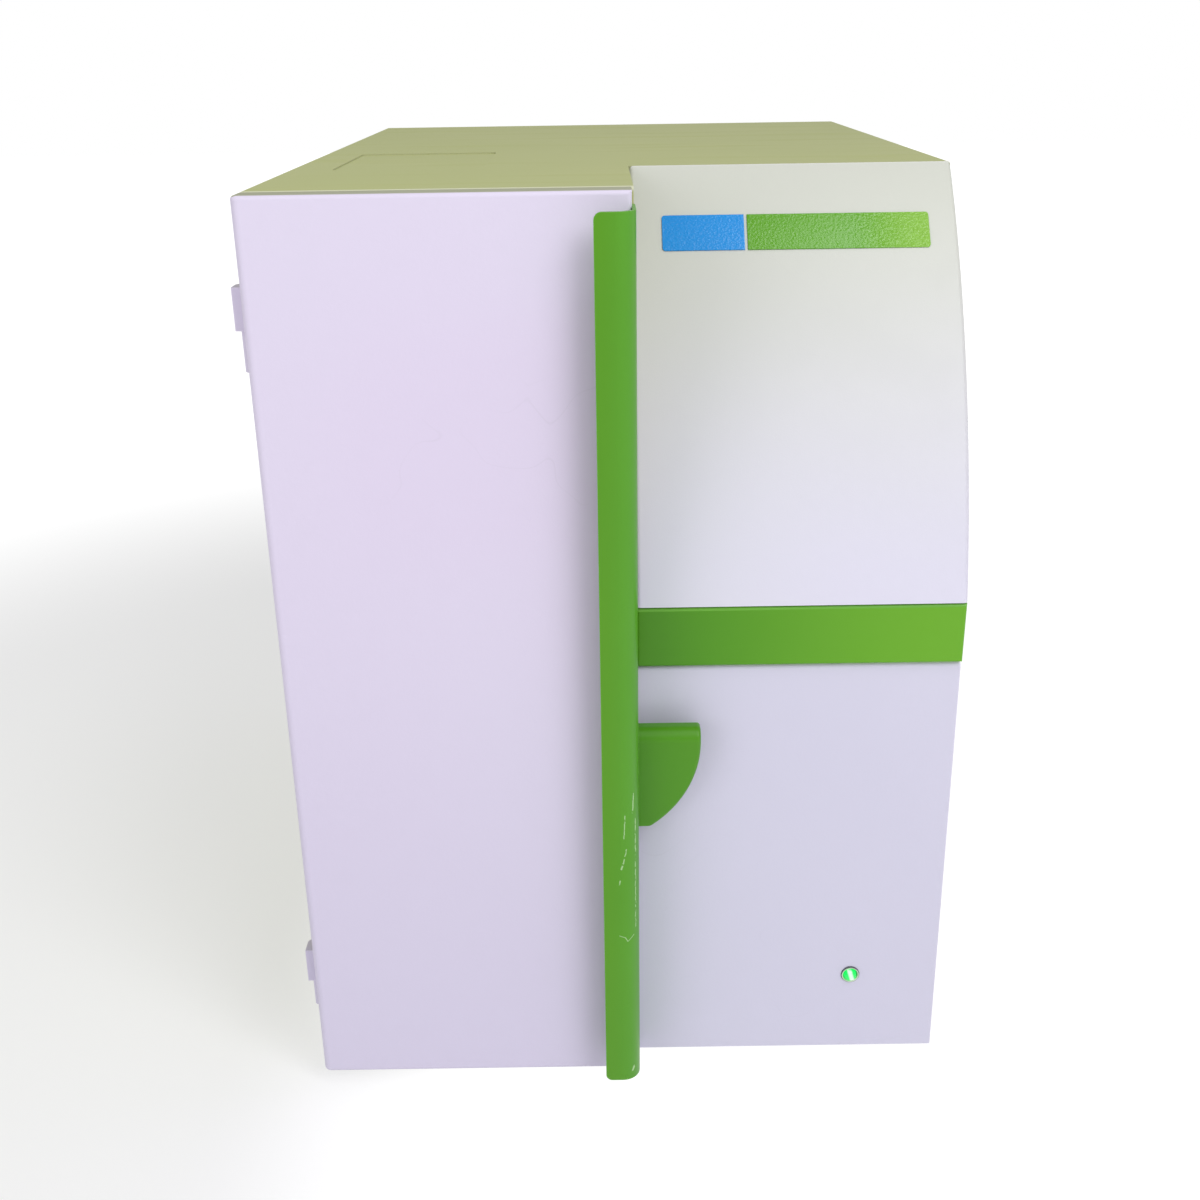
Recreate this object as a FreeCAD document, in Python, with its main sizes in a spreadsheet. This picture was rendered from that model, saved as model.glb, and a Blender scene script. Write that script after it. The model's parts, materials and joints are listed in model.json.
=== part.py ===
"""A bench counter for microplates: a steel cabinet with a tall door, a curved front cover and a plate lift.

Frame: +X to the right, +Y to the back, +Z up, origin on the bench below the middle of the whole object.
Every size is a cell of the sheet, in millimetres, and each piece is bound to those cells.
"""

import FreeCAD
import Part
import Sketcher
import math
import os

SIZES = [
    # outer cabinet
    ("cabinet_width", 441.3, "left side panel to right side panel"),
    ("cabinet_depth", 645.0, "front face of the door to the rear panel"),
    ("cabinet_height", 611.0, "underside of the panels to the roof"),
    ("foot_height", 14.0, "bench to the underside of the panels"),
    ("steel_gauge", 2.0, "outer sheet steel"),
    ("seam", 0.5, "gap between neighbouring covers"),
    ("running_gap", 0.3, "gap between a moving piece and what carries it"),
    ("roof_lip", 12.0, "height of the roof's folded edge"),
    ("roof_radius", 2.5, "rounding of the roof's outer edges"),
    ("recess_depth", 0.8, "depth of the plate rest in the roof"),
    ("recess_width", 101.0, "plate rest, left to right"),
    ("recess_length", 140.0, "plate rest, front to back"),
    ("recess_left", 30.0, "cabinet side to the plate rest"),
    ("recess_front", 158.0, "door face to the plate rest"),
    ("recess_radius", 6.0, "corner radius of the plate rest"),
    # door
    ("door_width", 225.7, "outer width of the door"),
    ("door_thickness", 19.0, "depth of the folded door"),
    ("door_clearance", 3.0, "back of the door to the cabinet's front"),
    ("door_gauge", 2.0, "door sheet"),
    ("panel_reveal", 2.0, "panel foot to the lower panel's foot"),
    ("door_edge_radius", 5.0, "rounding of the hinge side"),
    ("door_rim_radius", 2.5, "rounding of the other three sides"),
    ("liner_gauge", 1.5, "inner sheet of the door"),
    ("liner_border", 40.0, "rim of that sheet round its sunk middle"),
    ("liner_sink", 0.5, "how deep that middle is sunk"),
    ("cover_gap", 2.0, "door to the covers on its right"),
    ("frame_depth", 12.0, "depth of the sleeve round the door opening"),
    ("opening_left", 16.0, "cabinet side to the door opening"),
    ("opening_right", 14.0, "door opening to the divider"),
    ("opening_foot", 20.0, "panel foot to the door opening"),
    ("opening_head", 35.0, "roof to the door opening"),
    ("seal_width", 5.0, "door seal, across its face"),
    ("seal_margin", 2.0, "door opening to the seal"),
    # pull bar and finger grip on the door
    ("pull_stand", 24.0, "front of the pull bar ahead of the door"),
    ("pull_width", 23.9, "width of the pull bar seen from the front"),
    ("pull_gauge", 2.0, "sheet of the pull bar"),
    ("pull_radius", 12.0, "outer bend of the pull bar"),
    ("pull_return", 14.0, "how far the bar runs back along the door"),
    ("pull_foot", 9.5, "panel foot to the lower end of the bar"),
    ("pull_head", 9.0, "roof to the upper end of the bar"),
    ("pull_screw_inset", 36.0, "end of the bar to its first screw"),
    ("pull_screw_step", 142.0, "first screw to the second"),
    ("pull_corner", 4.5, "rounded corners of the lip"),
    ("grip_top", 272.0, "panel foot to the top of the finger grip"),
    ("grip_height", 74.0, "height of the finger grip"),
    ("grip_shoulder", 10.0, "straight side above the grip's curve"),
    ("grip_width", 41.2, "width of the finger grip at its top"),
    ("grip_toe", 9.6, "width of the finger grip at its foot"),
    ("grip_arc", 80.0, "radius of the grip's curved side"),
    ("grip_proud", 1.0, "grip ahead of the door face"),
    ("grip_back", 12.0, "back of the grip behind the door face"),
    ("grip_slope", 6.0, "how far the grip's face falls back at its foot"),
    ("grip_wall", 3.0, "wall of the grip"),
    ("grip_round", 8.0, "rounding of the grip's top edge"),
    ("grip_corner", 2.5, "rounding of the grip's upper outer corner"),
    ("overcut", 1.0, "how far a cut runs on past the piece"),
    # curved cover, band and lower panel on the right
    ("nose_radius", 550.0, "radius of the curved cover"),
    ("nose_centre", 236.0, "panel foot to the height of the curve's centre"),
    ("nose_setback", 22.4, "door face to the cover's lower edge"),
    ("nose_foot", 349.6, "panel foot to the cover's lower edge"),
    ("nose_wall", 3.0, "moulded wall of the cover"),
    ("nose_side", 30.0, "depth of the cover's side walls"),
    ("nose_round", 3.0, "rounding of the cover's side edges"),
    ("rib_depth", 9.0, "depth of the stiffening ribs"),
    ("rib_gauge", 2.0, "thickness of a rib"),
    ("rib_first", 35.0, "cover's lower edge to the first rib"),
    ("rib_pitch", 70.0, "distance between the ribs"),
    ("band_setback", 23.2, "door face to the coloured band"),
    ("band_height", 41.3, "height of the band"),
    ("band_gap", 1.0, "gap above and below the band"),
    ("band_round", 1.8, "rounding of the band's edges"),
    ("panel_setback", 27.0, "door face to the lower panel's top"),
    ("panel_rake", 8.5, "how far the lower panel's foot comes forward"),
    ("panel_back", 46.0, "door face to the back of the covers' folded edges"),
    ("panel_round", 4.0, "rounding of the lower panel's top edge"),
    # badge on the curved cover
    ("badge_height", 20.4, "height of the badge"),
    ("badge_drop", 29.2, "roof to the badge's upper edge"),
    ("badge_thickness", 0.8, "badge plate"),
    ("badge_left", 20.6, "left edge of the cover to the badge"),
    ("badge_short", 53.6, "width of the first plate"),
    ("badge_long", 118.6, "width of the second plate"),
    ("badge_split", 2.0, "strip between the two plates"),
    # lit button
    ("button_across", 61.3, "right side to the button"),
    ("button_up", 63.5, "panel foot to the button"),
    ("button_radius", 4.9, "radius of the lens"),
    ("lens_bevel", 1.2, "bevel round the lens"),
    ("button_clearance", 0.2, "lens to bezel"),
    ("button_proud", 3.5, "lens ahead of the panel"),
    ("button_length", 13.5, "length of the lens"),
    ("button_travel", 2.0, "how far the lens is pressed"),
    ("bezel_wall", 0.8, "wall of the bezel"),
    ("bezel_lip", 0.7, "bezel's lip beyond its barrel"),
    ("bezel_proud", 1.0, "lip ahead of the panel"),
    ("switch_length", 14.0, "switch behind the bezel"),
    # hinges
    ("hinge_reach", 9.0, "hinge beyond the cabinet side"),
    ("hinge_out", 4.7, "cabinet side to the hinge axis"),
    ("hinge_in", 29.0, "door face to the hinge axis"),
    ("hinge_leaf", 2.0, "thickness of the leaf behind the door"),
    ("hinge_leaf_inset", 8.0, "how far the leaf reaches behind the door"),
    ("hinge_knuckle", 26.0, "height of a knuckle"),
    ("hinge_post_radius", 3.2, "radius of the fixed knuckle"),
    ("hinge_pin_radius", 1.9, "radius of the pin"),
    ("hinge_cap", 3.0, "closed end of a knuckle"),
    ("hinge_drop", 79.5, "roof to the upper hinge's joint"),
    ("hinge_rise", 65.3, "panel foot to the lower hinge's joint"),
    # door catch
    ("catch_up", 281.0, "panel foot to the catch"),
    ("catch_height", 50.0, "height of the strike"),
    ("strike_gauge", 1.5, "thickness of the strike"),
    ("strike_reach", 15.0, "side of the opening to the strike's far edge"),
    ("magnet_inset", 3.0, "end of the strike to the magnet"),
    ("magnet_depth", 10.2, "depth of the magnet"),
    ("fit_clearance", 0.05, "radial clearance of a running fit"),
    # plate bay
    ("divider_inset", 4.0, "free edge of the door to the divider"),
    ("divider_length", 470.0, "depth of the divider"),
    ("bay_floor_up", 30.0, "panel foot to the bay floor"),
    ("bay_floor_length", 292.0, "depth of the bay floor"),
    ("window_front", 158.0, "door face to the transfer window"),
    ("window_length", 134.0, "transfer window, front to back"),
    ("window_foot", 290.0, "panel foot to the transfer window"),
    ("window_height", 37.0, "height of the transfer window"),
    # plate magazine
    ("magazine_width", 146.0, "outer width of the magazine"),
    ("magazine_front", 42.0, "door face to the magazine"),
    ("magazine_length", 104.0, "depth of the magazine"),
    ("magazine_drop", 39.0, "roof to the top of the magazine"),
    ("shelf_head", 20.0, "least room above the last shelf"),
    ("shelf_pitch", 29.5, "distance between shelves"),
    ("shelf_first", 66.0, "bay floor to the first shelf"),
    ("shelf_width", 6.0, "width of a ledge"),
    ("shelf_gauge", 2.0, "thickness of a ledge"),
    # lift
    ("rod_radius", 6.0, "guide rods"),
    ("rod_spacing", 172.0, "distance between the guide rods"),
    ("rod_back", 215.0, "door face to the guide rods"),
    ("head_gauge", 4.0, "head plate of the lift"),
    ("head_front", 192.0, "door face to the head plate"),
    ("head_length", 110.0, "depth of the head plate"),
    ("head_drop", 27.0, "roof to the head plate's upper face"),
    ("lift_rest", 54.0, "bay floor to the lift table at rest"),
    ("table_width", 136.0, "width of the lift table"),
    ("table_front", 163.0, "door face to the lift table"),
    ("table_length", 100.0, "depth of the lift table"),
    ("table_gauge", 4.0, "thickness of the lift table"),
    ("beam_depth", 24.0, "beam under the table, front to back"),
    ("beam_height", 26.0, "height of the beam"),
    ("beam_overhang", 12.0, "guide rod to the end of the beam"),
    ("bush_wall", 3.0, "wall of the guide bushes"),
    ("screw_radius", 5.0, "lead screw"),
    ("screw_back", 280.0, "door face to the lead screw"),
    ("nut_side", 18.0, "square lift nut"),
    ("nut_reach", 3.0, "nut below the beam"),
    ("pulley_radius", 14.0, "toothed pulleys"),
    ("pulley_height", 10.0, "height of the pulleys"),
    ("pulley_up", 8.0, "bay floor to the pulleys"),
    ("belt_gauge", 1.5, "thickness of the belt"),
    ("belt_margin", 1.0, "edge of the belt to the edge of the pulley"),
    ("motor_offset", 55.0, "lead screw to motor shaft"),
    ("motor_size", 42.0, "square of the motor"),
    ("motor_shaft", 2.5, "radius of the motor shaft"),
    ("shaft_hole", 7.5, "radius of the hole that the shaft passes"),
    ("shaft_stub", 2.0, "shaft above its pulley"),
    ("bearing_wall", 5.0, "wall of the screw bearings"),
    ("bearing_height", 4.0, "height of the foot bearing"),
    ("fork_width", 40.0, "width of the pick-up fork"),
    ("fork_length", 92.0, "length of the pick-up fork"),
    ("fork_gauge", 4.0, "thickness of the fork"),
    ("fork_hook", 4.0, "height of the fork's hook"),
    ("fork_set", 2.0, "front of the lift table to the fork"),
    ("fork_bar", 10.0, "width of the fork's side bars"),
    ("fork_bridge", 12.0, "front of the fork to its notch"),
    ("fork_notch", 43.0, "length of that notch"),
    ("guide_width", 4.0, "guides beside the fork"),
    ("guide_height", 6.0, "height of the guides"),
    # shielded counting chamber
    ("shield_left", 24.0, "divider to the shield"),
    ("shield_right", 12.0, "shield to the right side panel"),
    ("shield_front", 120.0, "door face to the shield"),
    ("shield_length", 210.0, "depth of the shield"),
    ("shield_lower", 284.0, "height of the lower block"),
    ("chamber_height", 45.0, "height of the counting chamber"),
    ("shield_upper", 165.0, "height of the upper block"),
    ("shield_wall", 15.0, "wall round the chamber"),
    ("tube_radius", 14.3, "photomultiplier tube"),
    ("tube_clearance", 0.4, "tube to its bore"),
    ("tube_length", 106.0, "length of a tube"),
    ("tube_inset", 2.0, "end of a tube inside its bore"),
    ("tube_pitch", 40.0, "distance between tubes"),
    ("rail_height", 8.0, "rails of the counting table"),
    ("rail_width", 6.0, "width of a rail"),
    ("stage_inset", 2.0, "mouth of the chamber to the counting table"),
    ("stage_room", 33.0, "counting table to the chamber's end wall"),
    ("stage_length", 104.0, "counting table, front to back"),
    ("stage_gauge", 10.0, "thickness of the counting table"),
    ("stage_rim", 9.0, "rim of the counting table"),
    # electronics and the rear
    ("supply_left", 28.0, "divider to the power supply"),
    ("supply_length", 190.0, "depth of the power supply"),
    ("supply_height", 70.0, "height of the power supply"),
    ("supply_side", 28.0, "power supply to the right side panel"),
    ("supply_back", 60.0, "rear panel to the power supply"),
    ("supply_vent_side", 10.0, "side of the supply to its first slot"),
    ("supply_vent_end", 20.0, "end of the supply to its slots"),
    ("board_length", 150.0, "control board"),
    ("board_height", 260.0, "height of the control board"),
    ("board_front", 345.0, "door face to the control board"),
    ("board_foot", 120.0, "panel foot to the control board"),
    ("board_gauge", 1.6, "thickness of the control board"),
    ("standoff_length", 8.0, "divider to the control board"),
    ("standoff_radius", 3.0, "stand-offs"),
    ("standoff_inset", 8.0, "edge of the board to a stand-off"),
    ("chip_height", 4.0, "height of the components on the board"),
    ("chip_length", 30.0, "length of a component"),
    ("chip_width", 26.0, "width of a component"),
    ("chip_space", 15.0, "space between components along the board"),
    ("chip_lift", 31.0, "space between rows of components"),
    ("chip_margin", 15.0, "edge of the board to the components"),
    ("rear_reach", 5.0, "furthest piece behind the rear panel"),
    ("fan_size", 120.0, "square of the fan"),
    ("fan_depth", 25.0, "depth of the fan"),
    ("fan_across", 110.0, "right side to the fan's axis"),
    ("fan_up", 440.0, "panel foot to the fan's axis"),
    ("fan_bore", 57.0, "radius of the fan's duct"),
    ("fan_screw_inset", 7.5, "edge of the fan to its screws"),
    ("fan_hub_depth", 4.0, "motor seat in the frame"),
    ("fan_arm", 5.0, "width of the arms that carry the motor"),
    ("fan_arm_depth", 3.0, "depth of those arms"),
    ("fan_arm_root", 1.0, "edge of the fan to the end of an arm"),
    ("rotor_recess", 3.0, "back of the rotor inside the frame"),
    ("blade_margin", 1.0, "edge of the hub to a blade"),
    ("blade_lean", 9.8, "how far a blade leans along its chord"),
    ("blade_root", 2.0, "blade inside the hub"),
    ("hub_radius", 19.0, "fan hub"),
    ("blade_tip", 55.0, "radius of the blade tips"),
    ("blade_count", 7, "number of blades"),
    ("blade_gauge", 1.6, "thickness of a blade"),
    ("guard_gauge", 1.5, "thickness of the fan guard"),
    ("guard_rim", 8.0, "rim of the guard"),
    ("guard_slot", 8.0, "width of a slot in the guard"),
    ("guard_pitch", 12.0, "distance between those slots"),
    ("guard_slots", 9, "number of those slots"),
    ("inlet_across", 54.0, "right side to the mains inlet"),
    ("inlet_up", 62.0, "panel foot to the mains inlet"),
    ("inlet_width", 30.0, "flange of the inlet"),
    ("inlet_height", 60.0, "height of the flange"),
    ("inlet_flange", 2.0, "thickness of the flange"),
    ("inlet_depth", 32.0, "depth of the inlet's housing"),
    ("inlet_pin_depth", 6.0, "face of the inlet to its contact pins"),
    ("inlet_fit", 0.2, "inlet and port to the panel's cut-outs"),
    ("socket_up", 19.8, "foot of the flange to the middle of the socket"),
    ("socket_width", 24.0, "width of the socket"),
    ("socket_height", 16.8, "height of the socket"),
    ("socket_nick", 4.2, "its bevelled upper corners"),
    ("pin_across", 6.0, "middle pin to an outer pin, left to right"),
    ("pin_up", 3.0, "middle of the socket to a pin"),
    ("pin_width", 2.0, "width of a contact pin"),
    ("pin_height", 4.0, "height of a contact pin"),
    ("rocker_up", 44.4, "foot of the flange to the rocker's axis"),
    ("rocker_radius", 7.5, "rocker's sweep"),
    ("rocker_gap", 0.5, "end of the rocker's sweep to its well"),
    ("rocker_height", 11.2, "height of the rocker"),
    ("rocker_back", 3.4, "axis to the rocker's back"),
    ("rocker_nose", 4.6, "axis to the rocker's raised end"),
    ("rocker_dip", 2.2, "axis to the rocker's pressed end"),
    ("rocker_well", 12.8, "depth of that well"),
    ("rocker_sink", 6.0, "face of the inlet to the rocker's axis"),
    ("rocker_width", 18.0, "width of the rocker"),
    ("rocker_pin", 1.2, "radius of the rocker's pin"),
    ("port_across", 110.0, "right side to the data port"),
    ("port_up", 62.0, "panel foot to the data port"),
    ("port_width", 31.0, "flange of the data port"),
    ("port_height", 12.5, "height of that flange"),
    ("port_flange", 1.0, "thickness of that flange"),
    ("port_depth", 10.0, "port behind the panel's face"),
    ("port_shell", 14.9, "narrow side of the port's shell"),
    ("port_flare", 3.1, "wide side of the shell beyond the narrow one"),
    ("port_shell_height", 7.5, "height of the shell"),
    ("port_wall", 0.7, "wall of the shell"),
    ("slot_width", 4.0, "ventilation slots"),
    ("slot_height", 60.0, "height of a slot"),
    ("slot_pitch", 11.0, "distance between slots"),
    ("slot_count", 14, "slots in a row"),
    ("side_vent_back", 72.0, "rear panel to the side slots"),
    ("side_vent_up", 73.0, "panel foot to the side slots"),
    ("rear_vent_side", 44.0, "cabinet side to the rear slots"),
    ("rear_vent_drop", 123.0, "roof to the top of the rear slots"),
    ("screw_head", 3.6, "radius of a panel screw's hexagonal head"),
    ("screw_head_height", 2.2, "height of that head"),
    ("screw_inset", 24.0, "edge of a panel to its screws"),
    ("screw_rise", 9.0, "panel foot to the lowest screws"),
    ("foot_radius", 17.0, "radius of a rubber foot"),
    ("foot_nut", 5.7, "radius of the foot's hexagonal nut"),
    ("foot_nut_height", 4.8, "height of that nut"),
    ("foot_inset_side", 42.0, "cabinet side to a foot"),
    ("foot_inset_front", 80.0, "door face to the front feet"),
    ("foot_inset_back", 50.0, "rear panel to the rear feet"),
    ("tray_lip", 16.0, "height of the base tray"),
]

doc = FreeCAD.newDocument("Counter")
sheet = doc.addObject("Spreadsheet::Sheet", "Sizes")
for row, (alias, number, note) in enumerate(SIZES, start=1):
    sheet.set(f"A{row}", note)
    sheet.set(f"B{row}", str(number))
    sheet.setAlias(f"B{row}", alias)
doc.recompute()


class Size:
    """A length worked out from the sheet: its number now, and the expression that keeps it up to date."""

    def __init__(self, text, number):
        self.text = text
        self.number = float(number)

    def _with(self, sign, other, number, swapped=False):
        other = other if isinstance(other, Size) else Size(repr(other), other)
        left, right = (other, self) if swapped else (self, other)
        return Size(f"({left.text} {sign} {right.text})", number(left.number, right.number))

    def __add__(self, other):
        return self._with("+", other, lambda a, b: a + b)

    def __radd__(self, other):
        return self._with("+", other, lambda a, b: a + b, True)

    def __sub__(self, other):
        return self._with("-", other, lambda a, b: a - b)

    def __rsub__(self, other):
        return self._with("-", other, lambda a, b: a - b, True)

    def __mul__(self, other):
        return self._with("*", other, lambda a, b: a * b)

    def __rmul__(self, other):
        return self._with("*", other, lambda a, b: a * b, True)

    def __truediv__(self, other):
        return self._with("/", other, lambda a, b: a / b)

    def __neg__(self):
        return 0 - self


def root(value):
    """Square root of a size."""
    return Size(f"sqrt({value.text})", math.sqrt(value.number))


def cell(alias):
    return Size(f"Sizes.{alias}", sheet.get(alias))


class Cells:
    """Reads a cell of the sheet by its alias, as in s.door_width."""

    def __getattr__(self, alias):
        return cell(alias)


s = Cells()
ZERO = Size("0", 0)

# Datum planes of the cabinet
LEFT = (s.hinge_reach - s.screw_head_height - s.cabinet_width) / 2
RIGHT = LEFT + s.cabinet_width
FRONT = (s.pull_stand - s.cabinet_depth - s.rear_reach) / 2
BACK = FRONT + s.cabinet_depth
FOOT = s.foot_height
ROOF = FOOT + s.cabinet_height
SHELL_FRONT = FRONT + s.door_thickness + s.door_clearance
SHELL_BACK = BACK - s.steel_gauge
SIDE_TOP = ROOF - s.roof_lip
TRAY_TOP = FOOT + s.steel_gauge
COVER_LEFT = LEFT + s.door_width + s.cover_gap
DIVIDER = LEFT + s.door_width - s.divider_inset
BAY_MIDDLE = (LEFT + 2 * s.steel_gauge + DIVIDER) / 2
BAY_FLOOR = FOOT + s.bay_floor_up + s.steel_gauge
NOSE_Z = FOOT + s.nose_centre
NOSE_FOOT = FOOT + s.nose_foot
NOSE_RISE = NOSE_FOOT - NOSE_Z
NOSE_Y = FRONT + s.nose_setback + root(s.nose_radius * s.nose_radius - NOSE_RISE * NOSE_RISE)

parts = {}


def keep(label, obj):
    """Gives a finished sub-part its label, which names its file."""
    obj.Label = label
    parts[label] = obj
    return obj


def bind(obj, prop, value):
    obj.setExpression(prop, value.text)


# Sketches and features of a body


def new_body(label):
    return keep(label, doc.addObject("PartDesign::Body", "Body_" + label))


def sketch_on(body, role, offset=ZERO):
    """A sketch parallel to one of the body's planes, moved along that plane's own normal."""
    name = f"{body.Name}_sketch{len(body.Group)}"
    sketch = body.newObject("Sketcher::SketchObject", name)
    plane = [o for o in body.Origin.OriginFeatures if o.Role == role][0]
    sketch.AttachmentSupport = (plane, [""])
    sketch.MapMode = "FlatFace"
    bind(sketch, "AttachmentOffset.Base.z", offset)
    return sketch


def arc_between(start, end, radius):
    """An arc that turns left from start to end when radius is positive, and right when it is negative."""
    a, b = FreeCAD.Vector(*start, 0), FreeCAD.Vector(*end, 0)
    half = (b - a).Length / 2
    rise = math.sqrt(max(radius * radius - half * half, 0)) * (1 if radius > 0 else -1)
    along = (b - a).normalize()
    centre = (a + b) / 2 + FreeCAD.Vector(-along.y, along.x, 0) * rise
    first, last = (a, b) if radius > 0 else (b, a)
    angles = [math.atan2(p.y - centre.y, p.x - centre.x) for p in (first, last)]
    circle = Part.Circle(centre, FreeCAD.Vector(0, 0, 1), abs(radius))
    return Part.ArcOfCircle(circle, angles[0], angles[1])


def outline(sketch, points, arcs=None):
    """A closed outline through points. arcs gives a turn and a radius to the side that starts at a point."""
    arcs = arcs or {}
    base = sketch.GeometryCount
    count = len(points)
    flat = [(p[0].number, p[1].number) for p in points]
    shapes, ends = [], []
    for i in range(count):
        a, b = flat[i], flat[(i + 1) % count]
        if i in arcs:
            sign, radius = arcs[i]
            shapes.append(arc_between(a, b, sign * radius.number))
            ends.append((1, 2) if sign > 0 else (2, 1))
        else:
            shapes.append(Part.LineSegment(FreeCAD.Vector(*a, 0), FreeCAD.Vector(*b, 0)))
            ends.append((1, 2))
    sketch.addGeometry(shapes, False)
    for i in range(count):
        following = (i + 1) % count
        sketch.addConstraint(
            Sketcher.Constraint("Coincident", base + i, ends[i][1], base + following, ends[following][0])
        )
    for i in range(count):
        for kind, value in (("DistanceX", points[i][0]), ("DistanceY", points[i][1])):
            index = sketch.addConstraint(
                Sketcher.Constraint(kind, -1, 1, base + i, ends[i][0], value.number)
            )
            bind(sketch, f"Constraints[{index}]", value)
        if i in arcs:
            index = sketch.addConstraint(Sketcher.Constraint("Radius", base + i, arcs[i][1].number))
            bind(sketch, f"Constraints[{index}]", arcs[i][1])


def rectangle(sketch, x0, x1, y0, y1):
    outline(sketch, [(x0, y0), (x1, y0), (x1, y1), (x0, y1)])


def ring_hole(sketch, x, y, radius):
    """A circle in a sketch."""
    base = sketch.GeometryCount
    centre = FreeCAD.Vector(x.number, y.number, 0)
    sketch.addGeometry(Part.Circle(centre, FreeCAD.Vector(0, 0, 1), radius.number), False)
    for kind, value in (("DistanceX", x), ("DistanceY", y)):
        index = sketch.addConstraint(Sketcher.Constraint(kind, -1, 1, base, 3, value.number))
        bind(sketch, f"Constraints[{index}]", value)
    index = sketch.addConstraint(Sketcher.Constraint("Radius", base, radius.number))
    bind(sketch, f"Constraints[{index}]", radius)


PLANES = {"X": "YZ_Plane", "Y": "XZ_Plane", "Z": "XY_Plane"}


def start_offset(axis, low, high):
    """The XZ plane's normal points to -Y, so a slab across Y starts at its high side."""
    return -high if axis == "Y" else low


def slab(body, axis, low, high, draw):
    """Adds a slab across an axis, from low to high, with the outline that draw puts in its sketch."""
    sketch = sketch_on(body, PLANES[axis], start_offset(axis, low, high))
    draw(sketch)
    pad = body.newObject("PartDesign::Pad", sketch.Name + "_pad")
    pad.Profile = sketch
    bind(pad, "Length", high - low)
    doc.recompute()
    return pad


def cut_slab(body, axis, low, high, draw):
    """Cuts a slab out of the body, from low to high."""
    sketch = sketch_on(body, PLANES[axis], start_offset(axis, low, high))
    draw(sketch)
    before = body.Shape.Volume
    pocket = body.newObject("PartDesign::Pocket", sketch.Name + "_cut")
    pocket.Profile = sketch
    bind(pocket, "Length", high - low)
    pocket.Reversed = True
    doc.recompute()
    if not body.Shape.Volume < before:
        raise RuntimeError(f"{sketch.Name} cuts nothing")
    return pocket


def row_of(body, feature, axis_name, pitch, count):
    """Repeats a feature along its sketch's own axis."""
    pattern = body.newObject("PartDesign::LinearPattern", feature.Name + "_row")
    pattern.Originals = [feature]
    pattern.Direction = (feature.Profile[0], [axis_name])
    bind(pattern, "Length", pitch * (count - 1))
    bind(pattern, "Occurrences", count)
    body.Tip = pattern
    doc.recompute()
    return pattern


def near(a, b):
    return abs(a - b) < 1e-4


def edges_of(shape, test):
    return [f"Edge{i}" for i, edge in enumerate(shape.Edges, start=1) if test(edge.BoundBox)]


def rounded(body, radius, test):
    """Rounds the edges whose bounding box passes the test."""
    base = body.Tip
    names = edges_of(base.Shape, test)
    if not names:
        raise RuntimeError(f"{body.Label} has no edge to round")
    fillet = body.newObject("PartDesign::Fillet", f"{body.Name}_round{len(body.Group)}")
    fillet.Base = (base, names)
    bind(fillet, "Radius", radius)
    doc.recompute()
    return fillet


def hollowed(body, wall, test):
    """Turns the solid into a shell of even wall, open at the faces whose bounding box passes the test."""
    base = body.Tip
    faces = [f"Face{i}" for i, face in enumerate(base.Shape.Faces, start=1) if test(face.BoundBox)]
    if not faces:
        raise RuntimeError(f"{body.Label} has no face to open")
    shell = body.newObject("PartDesign::Thickness", f"{body.Name}_shell{len(body.Group)}")
    shell.Base = (base, faces)
    shell.Mode = 0
    shell.Join = 0
    shell.Reversed = True
    bind(shell, "Value", wall)
    doc.recompute()
    return shell


def at_x(box, x):
    return near(box.XMin, x.number) and near(box.XMax, x.number)


def at_y(box, y):
    return near(box.YMin, y.number) and near(box.YMax, y.number)


def at_z(box, z):
    return near(box.ZMin, z.number) and near(box.ZMax, z.number)


# Primitives and what joins them


def name_for(kind):
    return f"{kind}{len(doc.Objects)}"


def block(x0, x1, y0, y1, z0, z1):
    """A box between two corners."""
    box = doc.addObject("Part::Box", name_for("Block"))
    for prop, value in (("Length", x1 - x0), ("Width", y1 - y0), ("Height", z1 - z0)):
        bind(box, prop, value)
    for letter, value in (("x", x0), ("y", y0), ("z", z0)):
        bind(box, f"Placement.Base.{letter}", value)
    return box


TURNS = {
    "X": FreeCAD.Rotation(FreeCAD.Vector(0, 1, 0), 90),
    "Y": FreeCAD.Rotation(FreeCAD.Vector(1, 0, 0), -90),
    "Z": FreeCAD.Rotation(),
}


def stand(obj, axis, where, low):
    """Lays an upright primitive along an axis: where gives its other two coordinates, low its start."""
    obj.Placement = FreeCAD.Placement(FreeCAD.Vector(), TURNS[axis])
    first, second = where
    spots = {"X": (low, first, second), "Y": (first, low, second), "Z": (first, second, low)}[axis]
    for letter, value in zip("xyz", spots):
        bind(obj, f"Placement.Base.{letter}", value)
    return obj


def rod(axis, where, low, high, radius):
    cylinder = doc.addObject("Part::Cylinder", name_for("Rod"))
    bind(cylinder, "Radius", radius)
    bind(cylinder, "Height", high - low)
    return stand(cylinder, axis, where, low)


def cone(axis, where, low, high, radius_low, radius_high):
    shape = doc.addObject("Part::Cone", name_for("Cone"))
    bind(shape, "Radius1", radius_low)
    bind(shape, "Radius2", radius_high)
    bind(shape, "Height", high - low)
    return stand(shape, axis, where, low)


def cut(base, tool):
    result = doc.addObject("Part::Cut", name_for("Cut"))
    result.Base = base
    result.Tool = tool
    return result


def fuse(pieces):
    result = doc.addObject("Part::MultiFuse", name_for("Fuse"))
    result.Shapes = pieces
    result.Refine = True
    return result


def group(pieces):
    """Several separate solids that share one node."""
    result = doc.addObject("Part::Compound", name_for("Group"))
    result.Links = pieces
    return result


def tube(axis, where, low, high, outer, inner):
    return cut(rod(axis, where, low, high, outer), rod(axis, where, low, high, inner))


def hexagon(axis, where, low, high, radius):
    prism = doc.addObject("Part::Prism", name_for("Hexagon"))
    prism.Polygon = 6
    bind(prism, "Circumradius", radius)
    bind(prism, "Height", high - low)
    return stand(prism, axis, where, low)


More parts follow.
